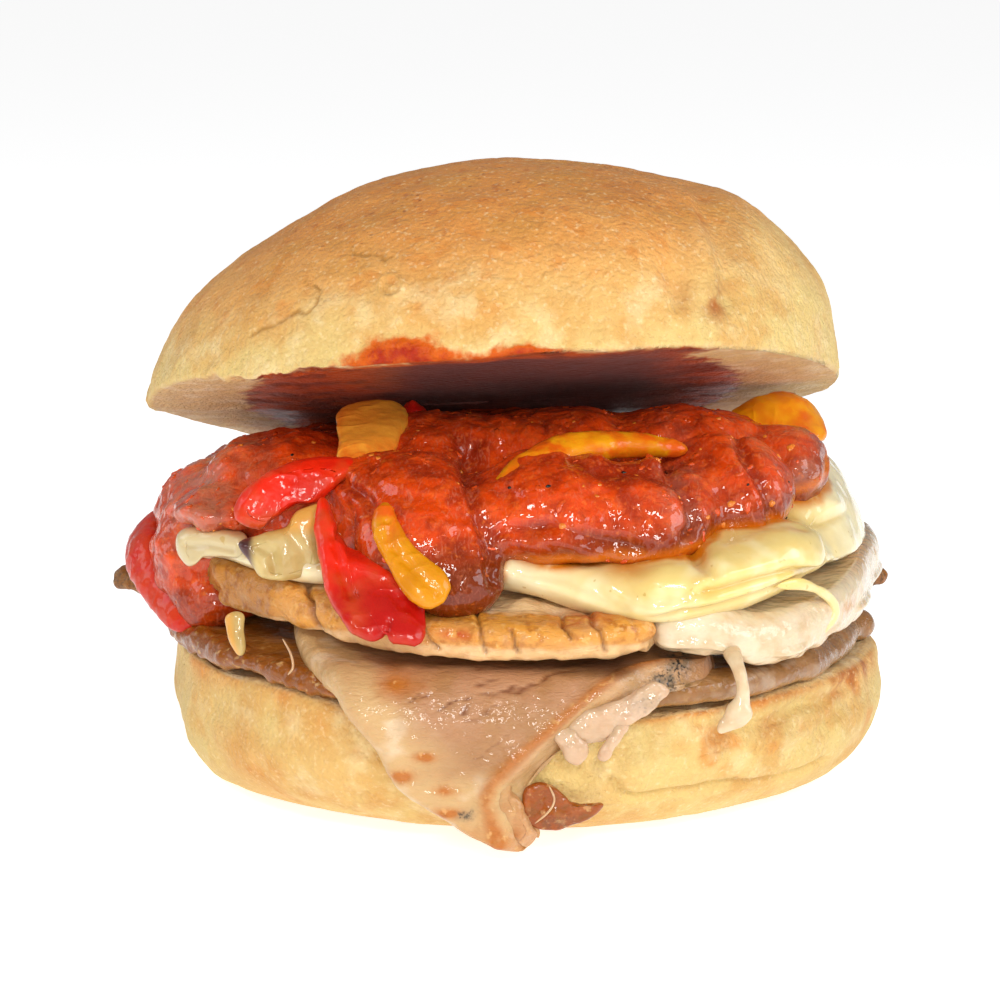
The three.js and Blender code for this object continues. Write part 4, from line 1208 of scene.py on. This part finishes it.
# Folds of the cheese: the (x, z) points of each fold's lower edge, its rise and its width.
CHEESE_FOLDS = [
    ([(32, 42.6), (33.7, 43.0), (40.0, 43.9), (45.1, 44.3), (50, 43)], 2.3, 8.5),
    ([(45.6, 49.5), (50, 48.4), (56, 47.6)], 1.5, 8.0),
    ([(24, 38.4), (28, 39.6), (34, 40.2), (41, 41.4), (46, 42.4)], 0.7, 3.4),
]


def cheese_sheet():
    """The melted sheet: its thick rim bends down over the slices and lies in folds at the
    front, and the rest runs in under the sauce."""
    low = lambda x, y, out: mix(CHEESE_LEVEL, cheese_rim(x, y)[0], out**4)
    inner = lambda out: np.sqrt(1 - np.minimum(out, 1) ** 3)
    high = lambda x, y, out: mix(cheese_rim(x, y)[1], cheese_top(x, y), inner(out))
    points, *_ = slab(
        CHEESE_OUTLINE, (4, -4), between(low, high), around=430, rim=0.08, face_rows=(8, 90), rim_rows=76,
    )
    x, y, z = np.moveaxis(points, -1, 0)
    front = ease(y, -12, -26)
    relief = 0.7 * noise(points, 13, 81) + 0.3 * noise(points, 5, 82)
    # the crease under each fold is kept as a mask of painted shade
    valley = 0.0
    for line, rise, width in CHEESE_FOLDS:
        bulge, crease = ledge(x, z, line, rise, width)
        relief = relief + front * (bulge - 0.5 * crease)
        valley = np.maximum(valley, crease * front)
    relief = relief + front * drawn(x, z, [
        ([(28.5, 50), (30.4, 47.2), (33, 44.6), (32, 43)], -1.1, 0.9),
        ([(20, 42.6), (24, 41.6), (28, 41.8)], -0.6, 1.5),
        ([(2, 44.6), (10, 44), (15, 42), (19, 40)], -0.5, 1.1),
    ])
    points = raised(points, relief)
    return points, cheese_masks(points, valley)


def cheese_masks(points, valley=0.0):
    """Where the cheese is thick and yellow, where tomato oil stains it: close to the
    sauce's edge, and where shade is painted: in the creases and low at the front."""
    x, y, z = np.moveaxis(points, -1, 0)
    thick = ease(x, 0, 24) * ease(x, 62, 46) * ease(y, -10, -35)
    near = heap_gap(points)
    stain = ease(near + 0.7 * noise(points, 3.5, 86, 2), 1.9, 0.1)
    wedge = hill(x, z, 19.5, 46.5, 3.4, 2.2) + 0.7 * hill(x, z, 31.5, 47.6, 1.0, 2.0)
    stain = stain + ease(y, -30, -45) * wedge
    # painted shade, darker low at the front
    dull = 0.3 * ease(z, 43, 38) * ease(y, -38, -48)
    return {"thick": 0.9 * thick + 0.1, "stain": stain, "valley": valley, "dull": dull}


def cheese_folds():
    """A thin strand of cheese that loops down from the sheet's front right edge, and a lobe
    at the left, a leaf with a dent drawn along it."""
    path = [
        (43, -50, 42), (47.6, -46, 41.4), (52, -40.5, 38.4), (53.4, -38.6, 35.4), (51.6, -41, 32.8),
        (48.6, -44.5, 31.6),
    ]
    strand, *_ = strip(
        path, 2.0, 1.3, (0.5, -1, 0), around=60, steps=120, bluntness=4, square=0.9,
        girth=(1.2, 0.9, 0.8, 0.9, 1.1),
    )
    strand = raised(strand, 0.45 * noise(strand, 6, 90) + 0.15 * noise(strand, 2.6, 99))
    outline = [
        (-41, 46.4), (-45, 47), (-48.6, 46.8), (-51.8, 45.8), (-52.8, 44.2), (-52.4, 42), (-51, 40.5),
        (-49.6, 40.8), (-48, 42.2), (-45, 42.8), (-41, 43),
    ]
    front = lambda x, z: -27.6 - 0.55 * (x + 48) + 0.3 * (z - 45)
    lobe, *_ = leaf(outline, (-47, 44.6), front, 5, around=160)
    dent = drawn(lobe[..., 0], lobe[..., 2], [([(-51, 44), (-47, 44.6), (-43, 44.2)], 1, 0.5)])
    lobe = raised(lobe, 0.3 * noise(lobe, 5, 97) - 0.4 * dent)
    stain = 1.3 * hill(lobe[..., 0], lobe[..., 2], -46, 48.4, 9, 1.5)
    return [
        (strand, cheese_masks(strand)),
        # the lobe is painted darker all over, as painted shade
        (lobe, {"thick": 0.1, "valley": 0.5, "dull": 0.75, "stain": stain}),
    ]


# ------------------------------------------------------------------ the peppers and onion


# Each pepper leaf's outline and middle, in (x, z); its y there and how y grows with z; its
# thickness.
PEPPER_LEAVES = {
    "pepper_red_front": (
        [(-22.4, 58.5), (-25.8, 59.7), (-31.8, 59.2), (-36, 57.8), (-39.4, 55.8), (-41.8, 53.4),
         (-42.4, 50.8), (-40.4, 49.2), (-37.6, 48.9), (-36, 50.4), (-32.4, 52.6), (-29, 52.9),
         (-26.6, 54.8)],
        (-34.5, 55), -36.5, 0.5, 5.6,
    ),
    "pepper_red_hanging": (
        [(-28, 54.6), (-28.8, 51), (-28.2, 47.6), (-27, 43.3), (-25.2, 40), (-22.8, 37.3), (-19.8, 36.1),
         (-17.4, 36.7), (-16.2, 35.8), (-13, 35.5), (-11.6, 37), (-11.8, 41.4), (-13.2, 43.6), (-16, 45.6),
         (-20, 47), (-23.4, 48), (-24.6, 49.8), (-26.2, 52.4)],
        (-22.4, 43), -55.4, 0.92, 6,
    ),
}
# Each pepper strip's path, width, thickness, the way it faces, and its girths.
PEPPER_STRIPS = {
    "pepper_yellow_hanging": (
        [(-17.9, -50.4, 55.4), (-17.6, -53.6, 51.8), (-15.6, -56.4, 48.6), (-12.4, -59, 45.2),
         (-8.6, -60.6, 42)],
        6.2, 3.3, (0.2, -1, 0.6), (0.42, 0.68, 0.85, 1.1, 1.2),
    ),
    "pepper_red_left": (
        [(-58.5, 4, 41.5), (-60, -5, 38.6), (-56.6, -13, 33.6), (-50.6, -21, 28.6)],
        7.6, 5.4, (-1, -0.6, 0.5), (1.1, 1, 0.8),
    ),
    "pepper_yellow_left": (
        [(-21.4, -13, 64.6), (-20.8, -18.6, 63), (-21.4, -26, 60.4), (-23.4, -34, 57)],
        11.4, 3.2, (0, -0.6, 1), (0.95, 1.05, 0.85, 0.5),
    ),
    "pepper_yellow_middle": (
        [(-1, -46, 52.6), (1.6, -42.6, 56.6), (8, -38, 60.6), (18, -34, 61.8), (30, -31, 60.2)],
        5.2, 3.8, (0, -0.7, 1), (0.8, 1, 1.1, 0.9, 0.7),
    ),
    "pepper_red_back": (
        [(-15, 39, 47.4), (-7, 45, 47), (2, 47.6, 46), (10, 47, 44.6)],
        7.6, 5, (0, 1, 0.5), (0.8, 1, 1, 0.8),
    ),
    "pepper_yellow_back": (
        [(22, 41.5, 48), (29, 42.6, 47), (36, 39.5, 46.2), (42, 34.5, 45)],
        7.6, 4.6, (0.3, 1, 0.4), (0.8, 1, 1, 0.8),
    ),
    "pepper_yellow_right": (
        [(37.5, -9, 59.4), (43.5, -9.5, 61), (49, -8, 61.4), (54, -4.5, 60.2)],
        10.4, 3.4, (0.1, -0.7, 1), (0.7, 1, 1.1, 0.9),
    ),
}


def pepper_strip(name, seed):
    """A strip of stewed pepper: flat flesh with rounded edges, dimpled and a little wrinkled.
    Those at the front are leaves of one outline each, and the others follow a path."""
    if name in PEPPER_LEAVES:
        outline, middle, level, lean, thick = PEPPER_LEAVES[name]
        points, *_ = leaf(outline, middle, lambda x, z: level + lean * (z - middle[1]), thick, around=320)
    else:
        path, width, thickness, faces, girth = PEPPER_STRIPS[name]
        points, *_ = strip(
            path, width, thickness, faces, around=110, steps=200, square=0.8, girth=girth, bluntness=7,
        )
    x, z = points[..., 0], points[..., 2]
    wrinkle = 1 - np.abs(noise(points, 3.2, seed + 5))
    relief = 0.35 * noise(points, 7, seed, 2) + 0.06 * noise(points, 1.4, seed + 1, 2) + 0.15 * wrinkle**4
    far, smear = 0.0, 0.2 + 0.5 * noise(points, 6, seed + 3, 2)
    if name == "pepper_red_hanging":
        relief = relief + drawn(x, z, [
            ([(-25.4, 50), (-24.6, 46), (-23, 43)], -0.9, 1.0), ([(-17.4, 37), (-17, 39)], -0.45, 0.5),
            ([(-22, 46.6), (-17, 45.2), (-13.6, 42.6)], 0.4, 0.8),
        ])
        far = ease(z, 48, 41) * ease(x, -27.4, -25)
        smear = smear + 0.5 * ease(z, 48, 52)
    if name == "pepper_red_front":
        far = 0.3 * ease(z, 58, 50)
        smear = smear + 1.2 * ease(x, -27.5, -24) + 0.8 * hill(x, z, -40, 50, 3, 1.6)
    if name == "pepper_red_left":
        far, smear = 0.8, 0.5
    if name == "pepper_yellow_left":
        smear = 0.9 * ease(z, 62.5, 59) + 0.6 * ease(np.abs(x + 21), 4, 5.4)
    if name in ("pepper_yellow_middle", "pepper_yellow_right"):
        smear = 0.65 + 0.7 * noise(points, 5, seed + 3, 2)
    if name == "pepper_yellow_hanging":
        relief = relief - drawn(x, z, [([(-17, 53), (-16.6, 50), (-13, 46.6), (-9.6, 43.6)], 0.5, 0.8)])
        far, smear = 0.3, 0.2 * smear + 1.2 * hill(x, z, -17.6, 55, 2.8, 3.4)
    return raised(points, relief), {"smear": smear, "far": far}


def pepper_scrap():
    """A dark scrap of red pepper behind the left strip of yellow pepper."""
    points = ball((-14.5, -11.5, 62.8), (2.3, 1.8, 2.2), 0.4)
    return raised(points, 0.5 * noise(points, 2.4, 470, 2)), {"far": 1.0, "smear": 0.3}


def onion_petal():
    """A curled petal of onion, glassy and soft: its near end was the purple skin."""
    outline = [
        (-28.6, 53), (-32, 52.2), (-33.8, 50.2), (-35.4, 48.9), (-38, 48.4), (-41.2, 47.4), (-40.8, 45.8),
        (-39.2, 43.6), (-37.4, 41.8), (-35, 41.2), (-30.4, 42), (-28.2, 43.4), (-28, 47), (-28.2, 50.4),
    ]
    points, *_ = leaf(outline, (-34, 46), lambda x, z: -41.6 + 0.25 * (z - 46) + 0.1 * (x + 34), 4)
    x, z = points[..., 0], points[..., 2]
    tip = ease(x + 0.8 * noise(points, 3, 452), -38.6, -39.8)
    gold = ease(z + 0.5 * noise(points, 3, 453), 47.6, 50.6)
    relief = 0.4 * noise(points, 5, 451, 2) + drawn(x, z, [
        ([(-38, 47), (-36, 46), (-35.4, 43)], -0.6, 0.8),
        ([(-34, 50), (-31, 46), (-30, 43)], -0.4, 1.0),
    ])
    return raised(points, relief), {"tip": tip, "gold": gold}


def onion_sliver():
    """A thin sliver of onion, golden on one side."""
    path = [(-42.5, -38, 35.2), (-42.2, -39.2, 32), (-41.4, -40.4, 28.6)]
    points, _, across, _ = strip(
        path, 3.1, 1.7, (-0.3, -1, 0), around=32, steps=50, girth=(1.3, 1, 0.65),
    )
    return raised(points, 0.2 * noise(points, 2, 455)), {"gold": ease(across, -0.4, 0.5)}


# ------------------------------------------------------------------ the sauce


SAUCE_HEART = np.array([0.0, -6.0, 44.0])
# Each lump's middle, its half sizes, its turn about Z and its lean about X, in degrees.
SAUCE_LUMPS = [
    ((0, -2, 46), (51, 44, 14.5), 0),
    ((-47, -8, 46.5), (10, 12, 7.5), 20),
    ((-51.5, -14.5, 39.5), (6.4, 9, 9), 25),
    ((-48.4, -20, 33), (4.6, 5.6, 5), 30),
    ((-36, -14, 53.5), (12, 12, 6.2), 0),
    ((-45.5, -24.5, 49.3), (7.6, 9, 3.6), 25),
    ((-14, -36, 54.6), (12.5, 10.5, 6.4), 0),
    ((-10.5, -46.6, 49.6), (12, 13, 7), 0, 42),
    ((-5.8, -53, 43.8), (6.4, 5.2, 5.4), 0),
    ((9, -42.6, 53.4), (13.2, 11.4, 6.6), -6, 38),
    ((24, -42.8, 52.6), (10.6, 10.8, 6.4), 6, 38),
    ((37.5, -33.8, 54.6), (9.4, 10.8, 6.6), 18, 34),
    ((46.5, -19, 54.4), (7, 10, 7.2), 10),
    ((-8, -18, 58.4), (12, 12, 5.2), 0),
    ((10, -16, 59.2), (13, 12, 5), 0),
    ((30, -15, 58.8), (13, 12, 5.6), 0),
    ((-45, 13, 47), (8, 12, 6), 0),
    ((-25, 34, 46.6), (12, 9, 6), 0),
    ((3, 38.5, 46.4), (13, 8.6, 6), 0),
    ((31, 33, 47), (12, 10, 6), 0),
]
# Creases between the drapes of sauce, and rolls in them: (x, z) points, height, half width.
SAUCE_LINES = [
    ([(-4.7, 59.9), (-4.3, 56), (-2.6, 52.6), (-0.9, 48.6), (-0.6, 44)], -1.7, 1.3),
    ([(26.7, 60.5), (28.4, 58.4), (30, 55.2), (30.7, 52.2), (29.6, 50.2)], -1.8, 1.1),
    ([(38.2, 62), (40.5, 57.9), (42.9, 53.6), (43.7, 50.3)], -1.8, 1.1),
    ([(11.7, 61.8), (15.6, 59.7), (21.9, 59.7), (26.9, 58.9)], -1.4, 1.5),
    ([(0, 50.8), (4.7, 51.6), (9.3, 52.1), (15.6, 49.6), (21.8, 48.3)], -0.8, 1.0),
    ([(2, 49), (8, 50), (14, 47.6), (20, 46.6)], 0.8, 1.3),
    ([(-11.1, 64.7), (-7.1, 62.6), (-4.7, 59.9)], -1.2, 1.4),
    ([(-26, 57), (-21, 55), (-17.6, 51.6)], -1.2, 1.1),
    ([(-50, 58), (-46, 52), (-45, 47)], -0.7, 1.3),
]


def heap_gap(points):
    """Distance in mm from each point to the sauce's lumps, about."""
    return np.min([lump_depth(points, *lump) for lump in SAUCE_LUMPS], axis=0)


def sauce_heap():
    """The heap of sauce: its lumps flow into each other, pulp makes it lumpy again, and its
    skin is drawn into fine curved wrinkles, where 1 - |noise| is highest."""
    rises = np.concatenate([
        np.linspace(-90, -34, 8, endpoint=False),
        np.linspace(-34, 34, 134, endpoint=False),
        np.linspace(34, 90, 60),
    ])
    points = heap(SAUCE_LUMPS, SAUCE_HEART, rises)
    warp = np.stack([noise(points, 7, 101), noise(points, 7, 102), noise(points, 7, 103)], -1)
    from_dot, chance = cells(points + 1.6 * warp, 4.6, 104)
    chunk = ease(chance, 0.45, 0.75) * ease(points[..., 1], -48, -30)
    bent = points + 2.2 * warp
    wrinkle = (1 - np.abs(noise(bent * (1, 0.35, 0.35), 1.7, 109))) ** 4
    relief = 1.2 * (0.55 - from_dot) * (0.15 + chunk) + 0.14 * wrinkle
    relief += 0.8 * noise(points, 9, 105, 2) + 0.3 * noise(bent, 3.6, 106, 2)
    x, y, z = np.moveaxis(points, -1, 0)
    relief = (relief + ease(y, -20, -34) * drawn(x, z, SAUCE_LINES)) * ease(z, 26, 34)
    points = raised(points, relief)
    # painted shade: darker where the relief sinks in
    hollow = ease(relief - 0.4 * noise(points, 9, 105, 2), 0.1, -0.9)
    x, y, z = np.moveaxis(points, -1, 0)
    shade = ease(z, 52, 45) * ease(x, -30, -14) * ease(x, 8, 0) + 0.6 * ease(z, 38, 33) * ease(x, -38, -41)
    shade = shade + 0.85 * ease(z - cheese_top(x, y), 7, 1) * ease(x, 2, 8)
    oil = ease(np.abs(z - cheese_top(x, y)), 1.8, 0.2) * ease(x, 0, 6)
    # where painted sheen lies: pale, on the flanks and crests, and in patches below
    sheen = hill(x, z, -50, 50, 9, 14) + hill(x, z, 28, 55, 4, 9) + hill(x, z, 41, 56, 3.5, 8)
    sheen = 0.55 + sheen + hill(x, z, 50, 56, 5, 8) + hill(x, z, -10, 56, 9, 8)
    # painted shade at the back top of the heap, under the lid
    deep = ease(y, -8, 14) * ease(z, 50, 58)
    wan = hill(x, z, -50, 51, 8, 9) + 0.5 * hill(x, z, 28.4, 56, 3, 8) + 0.6 * hill(x, z, 50, 55, 5, 6)
    return points, {
        "shade": shade, "oil": oil, "deep": deep, "sheen": np.clip(sheen, 0, 1), "hollow": hollow,
        "wan": wan,
    }


# Bits in the sauce's skin: piece, material, colour, roughness, weight of the coat, how many,
# random seed, least and greatest half size in mm, and how deep they are sunk.
SAUCE_BITS = [
    ("sauce_pulp_grains", "tomato_pulp_grain", "#dd5018", 0.24, 0.6, 500, 11, (0.3, 0.9), 0.6),
    ("sauce_flesh_beads", "tomato_flesh_bead", "#e8822a", 0.22, 0.6, 90, 13, (0.35, 0.8), 0.6),
    ("sauce_herb_flecks", "cracked_black_herb", "#1c1a14", 0.45, 0.2, 24, 15, (0.2, 0.45), 0.2),
]


def scatter(points, weight, count, seed):
    """Seats on a grid of points, picked at random in proportion to the area round each point
    and to its weight, and the surface's normals there."""
    across = np.linalg.norm(np.roll(points, -1, 0) - points, axis=-1)
    along = np.linalg.norm(np.gradient(points, axis=1), axis=-1)
    share = (across * along * weight).ravel()
    picks = np.random.default_rng(seed).choice(share.size, count, replace=False, p=share / share.sum())
    return points.reshape(-1, 3)[picks], outward(points).reshape(-1, 3)[picks]


# ------------------------------------------------------------------ the studio


SANDWICH_MIDDLE = Vector((0, 0, 0.046))
CAMERA_DISTANCE = 0.6
SENSOR_WIDTH = 36
SHOWN_WIDTH = 0.17
FLOOR_RADIUS = 5
FLOOR_SIDES = 96
# Each soft box: its name, place, size and colour, the setting it takes and its share of it.
SOFT_BOXES = [
    ("light_main", (0.14, -0.86, 0.5), 0.16, (1.0, 0.98, 0.95), "key", 0.47),
    ("light_low", (0.04, -0.93, 0.26), 0.14, (1.0, 0.97, 0.93), "key", 0.4),
    ("light_second", (-0.36, -0.76, 0.62), 0.14, (1.0, 0.98, 0.95), "key", 0.4),
    ("light_left", (-0.9, 0.1, 0.45), 0.5, (0.9, 0.94, 1.0), "rim", 1.0),
    ("light_right", (0.82, -0.3, 0.4), 0.5, (0.92, 0.95, 1.0), "rim", 2.1),
]


def white_floor():
    """A round white floor that glows a little, so it stays white up to its far edge."""
    made, tree = new_material("white_studio_floor")
    inputs = {
        "Base Color": linear("#e6e6e6"), "Roughness": 0.9, "Specular IOR Level": 0.0,
        "Emission Color": (1, 1, 1, 1), "Emission Strength": 0.7,
    }
    shader = add(tree, "ShaderNodeBsdfPrincipled", {}, inputs)
    add(tree, "ShaderNodeOutputMaterial", {}, {"Surface": shader.outputs[0]})
    mesh = bpy.data.meshes.new("studio_floor")
    turn = TURN * np.arange(FLOOR_SIDES) / FLOOR_SIDES
    rim = np.stack([FLOOR_RADIUS * np.cos(turn), FLOOR_RADIUS * np.sin(turn), 0 * turn], -1)
    mesh.from_pydata(rim.tolist(), [], [list(range(FLOOR_SIDES))])
    floor = bpy.data.objects.new("studio_floor", mesh)
    floor.data.materials.append(made)
    bpy.context.scene.collection.objects.link(floor)


def white_room(strength):
    """An even white room round the sandwich."""
    world = bpy.data.worlds.new("white_room")
    bpy.context.scene.world = world
    world.use_nodes = True
    world.node_tree.nodes.clear()
    inputs = {"Color": (1, 1, 1, 1), "Strength": strength}
    room = add(world.node_tree, "ShaderNodeBackground", {}, inputs)
    add(world.node_tree, "ShaderNodeOutputWorld", {}, {"Surface": room.outputs[0]})


def soft_box(name, place, size, colour, power):
    """A square soft box that faces the sandwich."""
    lamp = bpy.data.lights.new(name, "AREA")
    lamp.shape = "SQUARE"
    lamp.size, lamp.energy, lamp.color = size, power, colour
    stand = bpy.data.objects.new(name, lamp)
    stand.location = place
    stand.rotation_euler = (SANDWICH_MIDDLE - Vector(place)).to_track_quat("-Z", "Y").to_euler()
    bpy.context.scene.collection.objects.link(stand)


def camera(studio):
    """A long lens in front of the sandwich. At its usual distance it shows 170 mm across."""
    lens = bpy.data.cameras.new("camera_front")
    lens.sensor_width = SENSOR_WIDTH
    lens.lens = SENSOR_WIDTH * CAMERA_DISTANCE / SHOWN_WIDTH
    lens.clip_start = 0.01
    stand = bpy.data.objects.new("camera_front", lens)
    way = Vector((0, -math.cos(studio.height), math.sin(studio.height)))
    stand.location = SANDWICH_MIDDLE + way * studio.distance
    stand.rotation_euler = (-way).to_track_quat("-Z", "Y").to_euler()
    bpy.context.scene.collection.objects.link(stand)
    bpy.context.scene.camera = stand


# ------------------------------------------------------------------ what a user may change


def colour_setting(name, description, code):
    """A colour that a user may change."""
    return bpy.props.FloatVectorProperty(
        name=name, description=description, subtype="COLOR", size=4, default=linear(code),
    )


class RollColours(bpy.types.PropertyGroup):
    """Colours of the soft roll."""

    pale: colour_setting("Pale crust", "Crust where the oven browned it least", "#dabd78")
    baked: colour_setting("Baked crust", "Crust at the crown", "#d78d44")
    crumb: colour_setting("Crumb", "Cut face of the roll", "#d4ae72")


class CheeseColours(bpy.types.PropertyGroup):
    """Colours of the melted cheese."""

    pale: colour_setting("Thin cheese", "Cheese where it lies thin", "#eddfb4")
    yellow: colour_setting("Folded cheese", "Cheese where it is thick", "#e6ca7c")


class SauceColours(bpy.types.PropertyGroup):
    """Colours of the tomato sauce."""

    bright: colour_setting("Bright sauce", "Sauce over pulp", "#d6430a")
    deep: colour_setting("Deep sauce", "Sauce where it is deep", "#96280a")


class StudioSettings(bpy.types.PropertyGroup):
    """The light and the camera of the studio."""

    key: bpy.props.FloatProperty(
        name="Front lights", description="Power of which each of the three front boxes has a share",
        default=5.1, unit="POWER",
    )
    rim: bpy.props.FloatProperty(
        name="Side lights", description="Power of the left box, and about half of the right one's",
        default=1.7, unit="POWER",
    )
    sky: bpy.props.FloatProperty(name="Fill", description="Brightness of the white room", default=0.3)
    distance: bpy.props.FloatProperty(
        name="Camera distance", description="From the camera to the middle of the sandwich",
        default=CAMERA_DISTANCE, unit="LENGTH",
    )
    height: bpy.props.FloatProperty(
        name="Camera angle", description="How far the camera looks down", default=math.radians(11),
        subtype="ANGLE",
    )


# ------------------------------------------------------------------ operators


class SANDWICH_OT_lower_roll(bpy.types.Operator):
    """Build the lower half of the roll"""

    bl_idname = "sandwich.lower_roll"
    bl_label = "Lower roll"

    def execute(self, context):
        crust = baked_roll(context.scene.sandwich_roll)
        build("roll_lower", [lower_bun()], crust, ["bun_bottom"])
        return {"FINISHED"}


class SANDWICH_OT_upper_roll(bpy.types.Operator):
    """Build the upper half of the roll"""

    bl_idname = "sandwich.upper_roll"
    bl_label = "Upper roll"

    def execute(self, context):
        crust = baked_roll(context.scene.sandwich_roll)
        build("roll_upper", [upper_bun()], crust, ["bun_top"])
        return {"FINISHED"}


class SANDWICH_OT_pork(bpy.types.Operator):
    """Build the slices of roast pork and their browned ends"""

    bl_idname = "sandwich.pork"
    bl_label = "Roast pork"

    def execute(self, context):
        pork = {kind: roast_pork(f"roast_pork_{kind}", *look) for kind, look in PORK_LOOKS.items()}
        fat, crackling, ends = pork["fat"], pork["crackling"], pork["browned_ends"]
        tip, *frays = hanging_folds()
        build("pork_hanging", [hanging_slice(), tip], pork["slice"], ["slice_hanging"])
        build("pork_frayed_edge", frays, fat)
        build("pork_under_left", [under_left()], crackling, ["slice_under_left"])
        build("pork_under_right", [under_right()], pork["clear_fat"], ["slice_under_right"])
        build("pork_loin", [loin_slice()], pork["loin"], ["slice_loin"])
        build("pork_fatty", [fat_slice(), fat_thread()], fat, ["slice_fat"])
        build("crust_end_left", [crust_end(LEFT_END, (-50, 9), 301)], ends, ["crust_left"])
        build("crust_end_right", [crust_end(RIGHT_END, (54, 14), 305)], ends, ["crust_right"])
        build("crackling_scrap", [crackling_scrap()], crackling, ["crackling"])
        return {"FINISHED"}


class SANDWICH_OT_cheese(bpy.types.Operator):
    """Build the melted cheese"""

    bl_idname = "sandwich.cheese"
    bl_label = "Melted cheese"

    def execute(self, context):
        melted = melted_cheese(context.scene.sandwich_cheese)
        build("cheese_melted", [cheese_sheet(), *cheese_folds()], melted, ["cheese"])
        return {"FINISHED"}


class SANDWICH_OT_peppers(bpy.types.Operator):
    """Build the strips of stewed pepper"""

    bl_idname = "sandwich.peppers"
    bl_label = "Peppers"

    def execute(self, context):
        red = stewed_pepper("stewed_red_pepper", "#e8280e", "#b0100a", "#c9481c")
        yellow = stewed_pepper("stewed_yellow_pepper", "#e2960f", "#b86a05", "#d85a0c")
        light = stewed_pepper("stewed_light_yellow_pepper", "#ffb23c", "#f2942a", "#e8701c")
        for number, name in enumerate([*PEPPER_LEAVES, *PEPPER_STRIPS]):
            colour = "red" if "red" in name else "yellow"
            skin = red if colour == "red" else light if name == "pepper_yellow_left" else yellow
            piece = name.replace("pepper", "stewed_pepper")
            build(piece, [pepper_strip(name, 400 + 7 * number)], skin, [name])
        build("red_pepper_scrap", [pepper_scrap()], red)
        return {"FINISHED"}


class SANDWICH_OT_onion(bpy.types.Operator):
    """Build the petals of stewed onion"""

    bl_idname = "sandwich.onion"
    bl_label = "Onion"

    def execute(self, context):
        flesh = stewed_onion()
        build("onion_stewed_petal", [onion_petal()], flesh, ["onion_petal"])
        build("onion_stewed_sliver", [onion_sliver()], flesh, ["onion_sliver"])
        return {"FINISHED"}


class SANDWICH_OT_sauce(bpy.types.Operator):
    """Build the tomato sauce, and the pulp and herbs in it"""

    bl_idname = "sandwich.sauce"
    bl_label = "Tomato sauce"

    def execute(self, context):
        wet = tomato_sauce(context.scene.sandwich_sauce)
        points, masks = sauce_heap()
        build("sauce_chunky", [(points, masks)], wet, ["sauce"])
        shows = ease(points[..., 2], 44, 50)
        for name, food, code, roughness, gloss, count, seed, half, sunk in SAUCE_BITS:
            skin = plain_food(food, code, roughness, gloss)
            seats, normals = scatter(points, shows, count, seed)
            grains(name, seats, normals, half, sunk, seed + 1, skin)
        return {"FINISHED"}


class SANDWICH_OT_studio(bpy.types.Operator):
    """Set up the floor, the light and the camera"""

    bl_idname = "sandwich.studio"
    bl_label = "Studio"

    def execute(self, context):
        studio = context.scene.sandwich_studio
        white_floor()
        white_room(studio.sky)
        for name, place, size, colour, setting, share in SOFT_BOXES:
            soft_box(name, place, size, colour, share * getattr(studio, setting))
        camera(studio)
        context.scene.view_settings.view_transform = "Standard"
        return {"FINISHED"}


class SANDWICH_PT_panel(bpy.types.Panel):
    """Lists the steps that build the sandwich"""

    bl_idname = "SANDWICH_PT_panel"
    bl_label = "Porchetta Sandwich"
    bl_space_type = "VIEW_3D"
    bl_region_type = "UI"
    bl_category = "Sandwich"

    def draw(self, context):
        scene = context.scene
        groups = (scene.sandwich_roll, scene.sandwich_cheese, scene.sandwich_sauce, scene.sandwich_studio)
        for group in groups:
            for key in group.__annotations__:
                self.layout.prop(group, key)
        for step in STEPS:
            self.layout.operator(step.bl_idname)


# ------------------------------------------------------------------ the add-on


GROUPS = {
    "sandwich_roll": RollColours,
    "sandwich_cheese": CheeseColours,
    "sandwich_sauce": SauceColours,
    "sandwich_studio": StudioSettings,
}
STEPS = (
    SANDWICH_OT_lower_roll,
    SANDWICH_OT_upper_roll,
    SANDWICH_OT_pork,
    SANDWICH_OT_cheese,
    SANDWICH_OT_peppers,
    SANDWICH_OT_onion,
    SANDWICH_OT_sauce,
    SANDWICH_OT_studio,
)


def register():
    """Registers the classes, and gives the scene its groups of settings."""
    for kind in (*GROUPS.values(), *STEPS, SANDWICH_PT_panel):
        bpy.utils.register_class(kind)
    for name, group in GROUPS.items():
        setattr(bpy.types.Scene, name, bpy.props.PointerProperty(type=group))


def unregister():
    """Takes away what register made, in the opposite order."""
    for name in GROUPS:
        delattr(bpy.types.Scene, name)
    for kind in (SANDWICH_PT_panel, *reversed(STEPS), *reversed(list(GROUPS.values()))):
        bpy.utils.unregister_class(kind)


def main():
    """Builds the sandwich and its studio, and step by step."""
    register()
    for step in STEPS:
        group, call = step.bl_idname.split(".")
        getattr(getattr(bpy.ops, group), call)()


if __name__ == "__main__":
    main()
